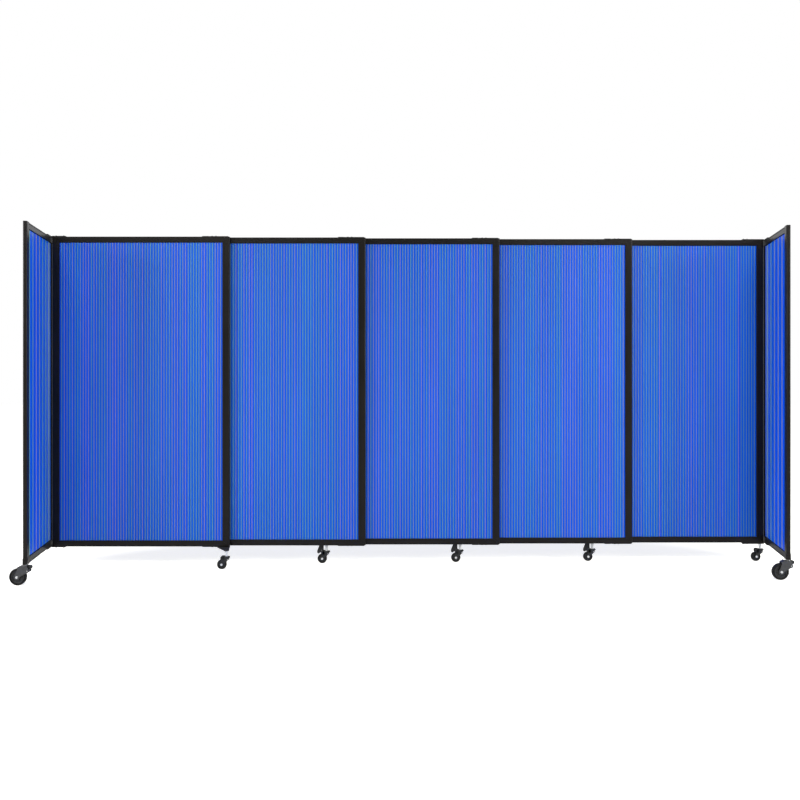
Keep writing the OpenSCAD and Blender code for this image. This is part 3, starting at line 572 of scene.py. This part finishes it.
def grid_solid(columns, levels, active):
    """A solid from columns (x, front y, back y) and levels z, of the cells that active names."""
    mesh = bmesh.new()
    uv = mesh.loops.layers.uv.new("flutes")
    corners = {}

    def corner(i, j, side):
        key = (i, j, side)
        if key not in corners:
            corners[key] = mesh.verts.new((columns[i][0], columns[i][1 + side], levels[j]))
        return corners[key]

    def wall(*keys):
        mesh.faces.new([corner(*key) for key in keys])

    for i in range(len(columns) - 1):
        for j in range(len(levels) - 1):
            if not active(i, j):
                continue
            wall((i, j, 0), (i + 1, j, 0), (i + 1, j + 1, 0), (i, j + 1, 0))
            wall((i, j, 1), (i, j + 1, 1), (i + 1, j + 1, 1), (i + 1, j, 1))
            for di, dj, a, b in (
                (-1, 0, (i, j), (i, j + 1)), (1, 0, (i + 1, j), (i + 1, j + 1)),
                (0, -1, (i, j), (i + 1, j)), (0, 1, (i, j + 1), (i + 1, j + 1)),
            ):
                inside = 0 <= i + di < len(columns) - 1 and 0 <= j + dj < len(levels) - 1
                if not inside or not active(i + di, j + dj):
                    wall((*a, 0), (*b, 0), (*b, 1), (*a, 1))
    return mesh, uv


def fluted_columns(width, thick, sizes):
    """Columns of a fluted sheet from x = 0, centred on y = 0, and the first web's middle."""
    cells = int((width - sizes.web) // sizes.pitch)
    first = (width - cells * sizes.pitch) / 2
    # place across a flute, and how much of the relief the skin has sunk there
    shape = ((0.0, 1.0), (0.07, 0.8), (0.18, 0.3), (0.36, 0.04), (0.5, 0.0),
             (0.64, 0.04), (0.82, 0.3), (0.93, 0.8))
    half = thick / 2
    columns = [(0.0, -half, half)]
    for i in range(cells):
        for share, sunk in shape:
            drop = sizes.relief * sunk
            columns.append((first + (i + share) * sizes.pitch, drop - half, half - drop))
    columns.append((first + cells * sizes.pitch, sizes.relief - half, half - sizes.relief))
    columns.append((width, -half, half))
    return columns, first


def sheet(name, width, levels, thick, place, body, node, nth, notch=0.0, finish=(1, 1.0)):
    """A fluted sheet whose UV map counts flutes, from a hundred for each sheet before it; its corners
    are notched at x < notch, and finish holds its stripes' span and how far its colour is brightened
    as painted light."""
    sizes = settings().sheet
    columns, first = fluted_columns(width, thick, sizes)
    if notch:
        columns.append((notch, -thick / 2, thick / 2))
        columns.sort()
    mesh, uv = grid_solid(
        columns, levels, lambda i, j: j == 1 or len(levels) < 4 or columns[i][0] >= notch
    )
    for face in mesh.faces:
        for loop in face.loops:
            at = loop.vert.co
            loop[uv].uv = ((at.x - first) / sizes.pitch + 1 + 100 * nth, at.z)
    thing = piece(name, mesh, fluted_polycarbonate(*finish), body, [node], place)
    weigh_normals(thing)
    return thing


def gasket(name, low, high, faces, place, body):
    """Rubber lips round an opening in the x-z plane, one for each of the faces (y, outwards)."""
    size = settings().sheet.gasket
    mesh = bmesh.new()
    middle = ((low[0] + high[0]) / 2, (low[1] + high[1]) / 2)
    corners = [(low[0], low[1]), (high[0], low[1]), (high[0], high[1]), (low[0], high[1])]
    # section of a lip: distance in from the frame, and out from the sheet
    section = ((0.0, 0.0), (0.9, 0.0), (1.0, 0.12), (0.86, 0.5), (0.5, 0.86), (0.12, 1.0), (0.0, 0.9))
    for y, out in faces:
        rings = []
        for x, z in corners:
            inward = (1 if x < middle[0] else -1, 1 if z < middle[1] else -1)
            rings.append([
                mesh.verts.new(
                    (x + inward[0] * s * size, y + out * t * size, z + inward[1] * s * size)
                )
                for s, t in section
            ])
        for a, b in zip(rings, rings[1:] + rings[:1]):
            bridge(mesh, a, b)
    thing = piece(name, mesh, soft_rubber(), body, (), place)
    weigh_normals(thing)
    return thing


def turned(profile, sides, centre, closed=True):
    """A solid turned about the Y axis from (radius, y) points, first and last on the axis
    unless the profile is closed."""
    mesh = bmesh.new()
    rings = []
    for radius, y in profile:
        if radius < 1e-7:
            rings.append([mesh.verts.new(centre + Vector((0, y, 0)))])
            continue
        rings.append([
            mesh.verts.new(centre + Vector((radius * math.cos(a), y, radius * math.sin(a))))
            for a in turns(sides)
        ])
    if closed:
        rings.append(rings[0])
    for a, b in zip(rings, rings[1:]):
        bridge(mesh, a, b)
    return mesh


def slab(outline, depth):
    """A plate in the x-z plane from an outline of (x, z), its middle at y = 0."""
    mesh = bmesh.new()
    near, far = [
        [mesh.verts.new((x, y, z)) for x, z in outline] for y in (-depth / 2, depth / 2)
    ]
    mesh.faces.new(near)
    mesh.faces.new(far[::-1])
    for k in range(len(outline)):
        n = (k + 1) % len(outline)
        mesh.faces.new((near[k], far[k], far[n], near[n]))
    bmesh.ops.recalc_face_normals(mesh, faces=mesh.faces)
    return mesh


def bar(low, size):
    """A box-shaped bmesh."""
    mesh = bmesh.new()
    bmesh.ops.create_cube(mesh, size=1.0)
    bmesh.ops.scale(mesh, vec=size, verts=mesh.verts)
    bmesh.ops.translate(mesh, vec=low + size / 2, verts=mesh.verts)
    return mesh


def socket_screw(at, out, shank, sizes):
    """A button-head screw with a hexagon socket, its head's foot at the point at, facing out
    along z."""
    head = sizes.screw_head / 2
    rise = 0.36 * sizes.screw_head
    flat = sizes.socket / 2
    rounds = ((0.22 * sizes.screw_head, -shank), (0.22 * sizes.screw_head, 0.0), (head, 0.0),
              (head, 0.35 * rise), (0.93 * head, 0.66 * rise), (0.76 * head, 0.9 * rise),
              (0.6 * head, rise))
    mesh = bmesh.new()
    rings = []

    def ring(radius_at, z):
        rings.append([
            mesh.verts.new(at + Vector(
                (radius_at(a) * math.cos(a), radius_at(a) * math.sin(a), out * z)
            ))
            for a in turns(24)
        ])

    def hexagon(a):
        return flat / math.cos(a % (math.pi / 3) - math.pi / 6)

    for radius, z in rounds:
        ring(lambda a: radius, z)
    ring(hexagon, rise)
    ring(hexagon, 0.35 * rise)
    for a, b in zip(rings, rings[1:]):
        bridge(mesh, a, b)
    mesh.faces.new(rings[0])
    mesh.faces.new(rings[-1])
    return mesh


def split_screws(nodes, sizes):
    """The solids of CAD nodes that aren't screws, and a detailed screw for each that is."""
    # a plain screw is as wide as its head both ways, and not as long as the hinge pins
    slack, longest = 0.4 * MM, 25 * MM
    rise, shank = 3.2 * MM, 15.8 * MM
    solids, screws = [], []
    for node in nodes:
        for part in cad_solids(node):
            low, size = extent(part)
            across = abs(size.x - sizes.screw_head) + abs(size.y - sizes.screw_head)
            if across > slack or size.z > longest:
                solids.append(part)
                continue
            middle = low + size / 2
            # the head is at the outer end, away from the middle of the wall's height
            up = 1 if middle.z > (CAD_BOX[0].z + CAD_BOX[1].z) / 2 else -1
            foot = low.z + size.z - rise if up > 0 else low.z + rise
            screws.append(socket_screw(Vector((middle.x, middle.y, foot)), up, shank, sizes))
            part.free()
    return solids, screws


def wing_matrix(wing):
    """Places a wing's own frame: x along the wing from its hinged edge, y across its depth."""
    sizes = settings().wing
    pin = Vector(JOINTS[f"{wing}_hinge"]["pos_m"])
    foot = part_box(f"{wing}_sheet")[0].z - (sizes.rail - sizes.grip)
    turn = -math.pi / 2 + (sizes.left_turn if wing == "left_wing" else -sizes.right_turn)
    return (
        Matrix.Translation((pin.x, pin.y, foot))
        @ Matrix.Rotation(turn, 4, "Z")
        @ Matrix.Translation((-sizes.slim / 2, -sizes.depth / 2, 0))
    )


def sheet_depth():
    """Depth of the fluted sheets from skin to skin."""
    low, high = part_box("panel_1_sheet")
    return high.y - low.y


def groove_shade_strips(name):
    """The dark strips that fill the grooves of a wing's rails, on both of its faces: rubber cover
    strips, and painted shade in place of the grooves' own shadow.
    """
    wing = settings().wing
    low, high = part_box(f"{name}_sheet")
    tall = high.z - low.z + 2 * (wing.rail - wing.grip)
    size = Vector((wing.width - wing.post - wing.slim, 2 * wing.strip_out, wing.strip))
    inset = wing.strip_in + wing.strip / 2
    strips = []
    for y in (0.0, wing.depth):
        for z in (inset, tall - inset):
            middle = Vector((wing.slim + size.x / 2, y, z))
            strips.append(bar(middle - size / 2, size))
            soften(strips[-1], settings().edge.core)
    piece(f"{name}_groove_strips", join(strips), soft_rubber(), name, (),
          wing_matrix(name))


def hood_ears(name, low, size):
    """The raised rear end of a small fork's hood, one ear over each cheek; low and size are
    the extent of the fork's body."""
    axle = Vector(JOINTS[f"{name}_roll"]["pos_m"])
    stem = Vector(JOINTS[f"{name}_swivel"]["pos_m"])
    back = Vector((axle.x - stem.x, axle.y - stem.y, 0))
    place = Matrix.Translation((stem.x, stem.y, low.z + size.z)) @ Matrix.Rotation(
        math.atan2(back.y, back.x), 4, "Z"
    )
    r = axle.z
    tip = back.length + 0.24 * r
    # from the hood's top, round the ear's tip and back under it
    outline = [(0.4 * back.length, 0.0), (tip - 0.3 * r, 0.0), (tip - 0.08 * r, -0.08 * r),
               (tip, -0.28 * r), (tip, -0.6 * r), (tip - 0.14 * r, -0.84 * r),
               (0.4 * back.length, -0.9 * r)]
    ears = []
    for side in (-1, 1):
        ear = slab(outline, 0.12 * r)
        across = Matrix.Translation((0, side * (size.y / 2 - 0.06 * r), 0))
        bmesh.ops.transform(ear, matrix=place @ across, verts=ear.verts)
        ears.append(ear)
    return ears


# ---------- One operator for each group of pieces ----------

class PARTITION_OT_sheets(bpy.types.Operator):
    """Builds the fluted sheets of the panels and the wings"""

    bl_idname = "partition.sheets"
    bl_label = "Fluted sheets"

    def execute(self, context):
        wing = settings().wing
        for n in PANELS:
            node = f"panel_{n}_sheet"
            low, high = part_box(node)
            place = Matrix.Translation((low.x, (low.y + high.y) / 2, low.z))
            sheet(f"panel_{n}_fluted_sheet", high.x - low.x, (0.0, high.z - low.z),
                  high.y - low.y, place, f"panel_{n}", node, n)
        for n, name in enumerate(WINGS, len(PANELS) + 1):
            node = f"{name}_sheet"
            low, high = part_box(node)
            tall = high.z - low.z
            start = wing.slim - wing.grip
            place = wing_matrix(name) @ Matrix.Translation(
                (start, wing.depth / 2, wing.rail - wing.grip)
            )
            # the corners are notched round the hinge castings, with a small gap
            notch = wing.grip + 0.2 * MM
            sheet(f"{name}_fluted_sheet", wing.width - wing.post - wing.slim + 2 * wing.grip,
                  (0.0, notch, tall - notch, tall), sheet_depth(), place, name, node, n,
                  notch, WING_STRIPES_AND_PAINTED_LIGHT[name])
        return {"FINISHED"}


class PARTITION_OT_gaskets(bpy.types.Operator):
    """Builds the rubber lips round the sheets and the dark strips in the wings' rails, which also
    paint the grooves' shade
    """

    bl_idname = "partition.gaskets"
    bl_label = "Gaskets and strips"

    def execute(self, context):
        wing = settings().wing
        grip = wing.grip
        for n in PANELS:
            low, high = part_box(f"panel_{n}_sheet")
            gasket(f"panel_{n}_gasket", (low.x + grip, low.z + grip),
                   (high.x - grip, high.z - grip), ((low.y, -1), (high.y, 1)), None, f"panel_{n}")
        thick = sheet_depth()
        for name in WINGS:
            low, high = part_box(f"{name}_sheet")
            top = high.z - low.z + wing.rail - 2 * grip
            gasket(f"{name}_gasket", (wing.slim, wing.rail), (wing.width - wing.post, top),
                   ((wing.depth / 2 - thick / 2, -1), (wing.depth / 2 + thick / 2, 1)),
                   wing_matrix(name), name)
            groove_shade_strips(name)
        return {"FINISHED"}


class PARTITION_OT_profiles(bpy.types.Operator):
    """Builds the extruded profiles of the frames"""

    bl_idname = "partition.profiles"
    bl_label = "Profiles"

    def execute(self, context):
        edge = settings().edge.profile
        for body in [f"panel_{n}" for n in PANELS] + list(WINGS):
            node = f"{body}_frame"
            tall, wide = [], []
            for part in cad_solids(node):
                size = extent(part)[1]
                (tall if size.z > max(size.x, size.y) else wide).append(part)
            place = wing_matrix(body) if body in WINGS else None
            if place:
                pin = JOINTS[f"{body}_hinge"]["pos_m"]
                tall.sort(key=lambda part: math.dist(extent(part)[0].xy, pin[:2]))
                worked(f"{body}_slim_upright", [tall.pop(0)], edge, powder_coat(), body,
                       [node], place)
            worked(f"{body}_uprights", tall, edge, anodised_aluminium("Z"), body,
                   [node], place)
            worked(f"{body}_rails", wide, edge, anodised_aluminium("X"), body,
                   [node], place)
        return {"FINISHED"}


class PARTITION_OT_brackets(bpy.types.Operator):
    """Builds the slide plates, stop blocks, straps, castings, mounts and their screws"""

    bl_idname = "partition.brackets"
    bl_label = "Brackets and straps"

    def execute(self, context):
        edge = settings().edge.plate
        sizes = settings().caster
        groups = {
            "slide_plates": [(f"panel_{n}", [f"panel_{n}_brackets"]) for n in PANELS],
            "hinge_straps": [(f"panel_{n}", [f"panel_{n}_hinge_straps"]) for n in (1, 5)],
            "hinge_castings": [(wing, [f"{wing}_hinges"]) for wing in WINGS],
            "caster_mounts": [
                ("panel_1", ["panel_1_caster_arm"]), ("panel_3", ["panel_3_caster_plate"]),
                ("panel_4", ["panel_4_caster_plate"]), ("panel_5", ["panel_5_caster_plates"]),
            ],
        }
        for group, rows in groups.items():
            for body, nodes in rows:
                solids, screws = split_screws(nodes, sizes)
                # the caster mounts take the lighter tone: painted light against the shade under the
                # frames
                coat = powder_coat("mount" if group == "caster_mounts" else "coat")
                worked(f"{body}_{group}", solids, edge, coat, body, nodes)
                if screws:
                    heads = piece(f"{body}_{group}_screws", join(screws), powder_coat(), body,
                                  nodes)
                    weigh_normals(heads)
        return {"FINISHED"}


class PARTITION_OT_glides(bpy.types.Operator):
    """Finishes the nylon glides in the rails' grooves"""

    bl_idname = "partition.glides"
    bl_label = "Glides"

    def execute(self, context):
        for n in PANELS:
            node = f"panel_{n}_glides"
            worked(f"panel_{n}_nylon_glides", cad_solids(node), settings().edge.plate,
                   natural_nylon(), f"panel_{n}", [node])
        return {"FINISHED"}


class PARTITION_OT_stems(bpy.types.Operator):
    """Builds the bright caster stems"""

    bl_idname = "partition.stems"
    bl_label = "Stems"

    def execute(self, context):
        rows = [("panel_1", "panel_1_stem"), ("panel_3", "panel_3_stem"),
                ("panel_4", "panel_4_stem"), ("panel_5", "panel_5_stems"),
                ("left_wing", "left_wing_stem"), ("right_wing", "right_wing_stem")]
        for body, node in rows:
            worked(f"{node}_zinc", cad_solids(node), settings().edge.plate, zinc_plate(), body,
                   [node])
        return {"FINISHED"}


class PARTITION_OT_forks(bpy.types.Operator):
    """Builds the forks with their axles and brake pins"""

    bl_idname = "partition.forks"
    bl_label = "Forks"

    def execute(self, context):
        sizes = settings().caster
        for name in CASTERS:
            node = body = f"{name}_fork"
            solids = sorted(cad_solids(node), key=lambda part: -extent(part)[1].length)
            frame_body, metal = solids[0], solids[1:]
            centre = Vector(JOINTS[f"{name}_roll"]["pos_m"])
            low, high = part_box(node)
            reach = (high.y - low.y) / 2
            head = sizes.axle_head / 2
            # on each side a domed head, which shares its rim and outer face with the plain one
            dome = [(0.0, 0.5 * reach), (0.5 * head, 0.5 * reach), (0.5 * head, reach - 3 * MM),
                    (head, reach - 3 * MM), (head, reach - 1.6 * MM),
                    (0.86 * head, reach - 0.6 * MM), (0.5 * head, reach), (0.34 * head, reach),
                    (0.26 * head, reach - 0.8 * MM), (0.0, reach - 0.8 * MM)]
            for side in (-1, 1):
                profile = [(radius, side * y) for radius, y in dome]
                metal.append(turned(profile, 32, centre, closed=False))
            tone = "grey" if name in WINGS else "nylon"
            parts = [frame_body]
            if name not in WINGS:
                parts += hood_ears(name, *extent(frame_body))
            worked(f"{name}_fork_body", parts, settings().edge.casting, moulded_nylon(tone),
                   body, [node])
            worked(f"{name}_axle_and_pin", metal, settings().edge.axle, zinc_plate(), body,
                   [node])
        return {"FINISHED"}


class PARTITION_OT_wheels(bpy.types.Operator):
    """Builds the tyres and the ribbed cores of the wheels"""

    bl_idname = "partition.wheels"
    bl_label = "Wheels"

    def execute(self, context):
        sizes = settings().caster
        for name in CASTERS:
            node = body = f"{name}_wheel"
            centre = Vector(JOINTS[f"{name}_roll"]["pos_m"])
            low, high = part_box(node)
            r, half = centre.z, (high.y - low.y) / 2
            inner = sizes.tyre * r
            tyre = [(inner, 0.72 * half), (inner + 0.04 * r, 0.94 * half),
                    (inner + 0.08 * r, half), (0.88 * r, half), (0.945 * r, 0.86 * half),
                    (0.985 * r, 0.6 * half), (r, 0.3 * half)]
            tyre += [(radius, -y) for radius, y in reversed(tyre)]
            thing = piece(f"{name}_tyre", turned(tyre, 96, centre), soft_rubber(), body,
                          [node])
            weigh_normals(thing)
            hub, rim = sizes.hub * r, inner - 0.1 * r
            bore = 4.05 * MM
            core = [(bore, half), (hub - 0.04 * r, half), (hub, 0.94 * half), (hub, 0.3 * half),
                    (rim, 0.3 * half), (rim, 0.66 * half), (inner + 0.01 * r, 0.7 * half)]
            core += [(radius, -y) for radius, y in reversed(core)]
            parts = [turned(core, 96, centre)]
            rib = 0.07 * r
            for a in turns(sizes.ribs):
                spoke = bar(Vector((0.9 * hub, -0.55 * half, -rib / 2)),
                            Vector((rim - 0.9 * hub + 0.02 * r, 1.1 * half, rib)))
                place = Matrix.Translation(centre) @ Matrix.Rotation(a, 4, "Y")
                bmesh.ops.transform(spoke, matrix=place, verts=spoke.verts)
                parts.append(spoke)
            # the large cores are lighter, so their rims paint the bright ring of a highlight on dark
            # nylon
            tone = "charcoal" if name in WINGS else "nylon"
            worked(f"{name}_wheel_core", parts, settings().edge.core, moulded_nylon(tone), body,
                   [node])
        return {"FINISHED"}


class PARTITION_OT_pedals(bpy.types.Operator):
    """Builds the brake pedals: barrel, nose and slim arm with a grooved round toe"""

    bl_idname = "partition.pedals"
    bl_label = "Brake pedals"

    def execute(self, context):
        sizes = settings().caster
        edge = 0.6 * settings().edge.casting
        for name in CASTERS:
            node = body = f"{name}_brake"
            axle = Vector(JOINTS[f"{name}_roll"]["pos_m"])
            pin = Vector(JOINTS[f"{name}_pedal"]["pos_m"])
            r = axle.z
            ahead = Vector((pin.x - axle.x, pin.y - axle.y, 0)).normalized()
            place = Matrix.Translation(pin) @ Matrix.Rotation(math.atan2(ahead.y, ahead.x), 4, "Z")
            plain = join(cad_solids(node))
            bmesh.ops.transform(plain, matrix=place.inverted(), verts=plain.verts)
            width = extent(plain)[1].y
            plain.free()
            toe = Vector((sizes.toe_out * r, sizes.toe_up * r))
            side = Vector((toe.y, -toe.x)).normalized()
            down = Vector((-(pin - axle).xy.length, axle.z - pin.z))
            # the nose stops this far from the tyre when the pedal is down
            gap = 0.5 * MM
            reach = down.length - r - gap
            travel = math.radians(JOINTS[f"{name}_pedal"]["range_deg"][1])
            aim = math.atan2(down.y, down.x) + travel
            along = Vector((math.cos(aim), math.sin(aim)))
            over = Vector((-along.y, along.x)) * 0.08 * r
            root, neck = 0.11 * r * side, 0.09 * r * side
            barrel = 2.5 * MM + 0.11 * r
            # half the depth of the toe's grooves, over its radius
            wave = 0.04
            parts = [
                slab([barrel * Vector((math.cos(a), math.sin(a))) for a in turns(32)], width),
                slab([over, reach * along + 0.6 * over, reach * along - 0.6 * over, -over], width),
                slab([root, toe + neck, toe - neck, -root], 0.5 * width),
                slab([toe + sizes.toe * r * (1 - wave + wave * math.cos(sizes.grooves * a))
                      * Vector((math.cos(a), math.sin(a))) for a in turns(6 * sizes.grooves)],
                     0.65 * width),
            ]
            for part in parts:
                soften(part, edge)
            thing = piece(f"{name}_pedal", join(parts), moulded_nylon(), body,
                          [node], place)
            weigh_normals(thing)
        return {"FINISHED"}


class PARTITION_OT_stage(bpy.types.Operator):
    """Sets the floor, the light and the camera"""

    bl_idname = "partition.stage"
    bl_label = "Stage"

    def execute(self, context):
        scene = context.scene
        stage = settings().stage
        scene.view_settings.view_transform = "Standard"
        self.floor(scene, stage)
        self.world(scene, stage)
        self.softboxes(scene, stage)
        data = bpy.data.cameras.new("camera")
        data.lens = stage.lens
        data.sensor_width = 36.0
        data.shift_y = stage.rise
        camera = bpy.data.objects.new("camera", data)
        camera.location = (stage.camera_x, stage.camera_y, stage.camera_z)
        camera.rotation_euler = (math.pi / 2, 0.0, 0.0)
        scene.collection.objects.link(camera)
        scene.camera = camera
        return {"FINISHED"}

    def floor(self, scene, stage):
        """A wide pale floor that keeps the shadow and meets the white backdrop unseen."""
        mesh = bmesh.new()
        bmesh.ops.create_grid(mesh, x_segments=24, y_segments=24, size=30.0)
        data = bpy.data.meshes.new("floor")
        mesh.to_mesh(data)
        mesh.free()
        floor = bpy.data.objects.new("floor", data)
        floor.location.z = -0.0005
        scene.collection.objects.link(floor)
        material = bpy.data.materials.new("pale_studio_floor")
        material.use_nodes = True
        tree = material.node_tree
        tree.nodes.clear()
        dull = add(
            tree, "ShaderNodeBsdfDiffuse", {"Color": linear("#f5f3ea"), "Roughness": 0.5}
        )
        glow = add(tree, "ShaderNodeEmission", {"Color": (1, 1, 1, 1), "Strength": stage.glow})
        ray = add(tree, "ShaderNodeLightPath")
        seen = add(
            tree, "ShaderNodeMixShader", {0: ray.outputs["Is Camera Ray"], 2: glow.outputs[0]}
        )
        both = add(tree, "ShaderNodeAddShader", {0: dull.outputs[0], 1: seen.outputs[0]})
        add(tree, "ShaderNodeOutputMaterial", {"Surface": both.outputs[0]})
        data.materials.append(material)

    def world(self, scene, stage):
        """Light from all round, stronger from the side walls; what a camera or a shiny face
        sees is the white backdrop, dimmer towards the dark end of the studio behind the
        camera."""
        # y of a direction at the studio's dark end, and of one where its light is full
        dark, light = -0.86, -0.2
        world = scene.world or bpy.data.worlds.new("studio")
        scene.world = world
        world.use_nodes = True
        tree = world.node_tree
        tree.nodes.clear()
        ray = add(tree, "ShaderNodeLightPath")
        way = add(tree, "ShaderNodeTexCoord").outputs["Generated"]
        depth = add(tree, "ShaderNodeSeparateXYZ", {"Vector": way}).outputs["Y"]
        behind = add(
            tree, "ShaderNodeMapRange", {0: depth, 1: dark, 2: light, 3: 0.04, 4: 1.0},
            interpolation_type="SMOOTHSTEP",
        ).outputs[0]
        shiny = add(
            tree, "ShaderNodeMath",
            {0: ray.outputs["Is Glossy Ray"], 1: ray.outputs["Is Transmission Ray"]},
            operation="MAXIMUM",
        ).outputs[0]
        across = add(tree, "ShaderNodeSeparateXYZ", {"Vector": way}).outputs["X"]
        # the fourth power keeps the extra light near the side walls
        walls = add(tree, "ShaderNodeMath", {0: across, 1: 4.0}, operation="POWER").outputs[0]
        tent = add(
            tree, "ShaderNodeMath", {0: walls, 1: stage.walls * stage.ambient, 2: stage.ambient},
            operation="MULTIPLY_ADD",
        ).outputs[0]
        lit = add(tree, "ShaderNodeMix", {0: shiny, 2: tent, 3: behind}).outputs[0]
        seen = add(
            tree, "ShaderNodeMix", {0: ray.outputs["Is Camera Ray"], 2: lit, 3: 1.0}
        ).outputs[0]
        glow = add(tree, "ShaderNodeBackground", {"Color": (1, 1, 1, 1), "Strength": seen})
        add(tree, "ShaderNodeOutputWorld", {"Surface": glow.outputs[0]})

    def softboxes(self, scene, stage):
        """Tall softboxes on both sides, and two overhead that reach into the corners by the
        wings."""
        # a honeycomb grid narrows the overhead ones, to keep them off the middle of the wall
        bare, grid = math.pi, math.radians(70)
        # side, place, what it aims at, size, spread and share of the power
        rows = (
            ("left", (-6.0, -3.0, 2.4), (0.0, 0.2, 1.0), (1.5, 2.0), bare, 2.75),
            ("right", (6.0, -3.0, 2.4), (0.0, 0.2, 1.0), (1.5, 2.0), bare, 2.15),
            ("top_left", (-2.2, -4.2, 4.6), (-2.3, 0.1, 1.0), (2.0, 2.0), grid, 0.36),
            ("top_right", (2.2, -4.2, 4.6), (2.4, 0.1, 1.0), (2.0, 2.0), grid, 0.47),
        )
        for side, at, aim, size, beam, part in rows:
            name = f"softbox_{side}"
            data = bpy.data.lights.new(name, "AREA")
            data.shape = "RECTANGLE"
            data.size, data.size_y = size
            data.energy = stage.softbox * part
            data.spread = beam
            lamp = bpy.data.objects.new(name, data)
            lamp.location = at
            lamp.rotation_euler = (Vector(aim) - Vector(at)).to_track_quat("-Z", "Y").to_euler()
            scene.collection.objects.link(lamp)


OPERATORS = (
    PARTITION_OT_sheets, PARTITION_OT_gaskets, PARTITION_OT_profiles, PARTITION_OT_brackets,
    PARTITION_OT_glides, PARTITION_OT_stems, PARTITION_OT_forks, PARTITION_OT_wheels,
    PARTITION_OT_pedals, PARTITION_OT_stage,
)


class PARTITION_PT_panel(bpy.types.Panel):
    """Lists the partition's sizes, colours and operators"""

    bl_label = "Sliding partition"
    bl_idname = "PARTITION_PT_panel"
    bl_space_type = "VIEW_3D"
    bl_region_type = "UI"
    bl_category = "Partition"

    def draw(self, context):
        for group in ("sheet", "wing", "edge", "caster", "finish", "stage"):
            box = self.layout.box()
            box.label(text=group.capitalize())
            values = getattr(context.scene.partition, group)
            for key in type(values).__annotations__:
                box.prop(values, key)
        for operator in OPERATORS:
            self.layout.operator(operator.bl_idname)


CLASSES = (
    SheetSizes, WingSizes, EdgeSizes, CasterSizes, Finishes, StageSizes, PartitionSettings,
    *OPERATORS, PARTITION_PT_panel,
)


def register():
    """Registers the classes and hangs the settings on the scene."""
    for cls in CLASSES:
        bpy.utils.register_class(cls)
    bpy.types.Scene.partition = PointerProperty(type=PartitionSettings)


def unregister():
    del bpy.types.Scene.partition
    for cls in reversed(CLASSES):
        bpy.utils.unregister_class(cls)


def main():
    register()
    for operator in OPERATORS:
        group, name = operator.bl_idname.split(".")
        getattr(getattr(bpy.ops, group), name)()


if __name__ == "__main__":
    main()
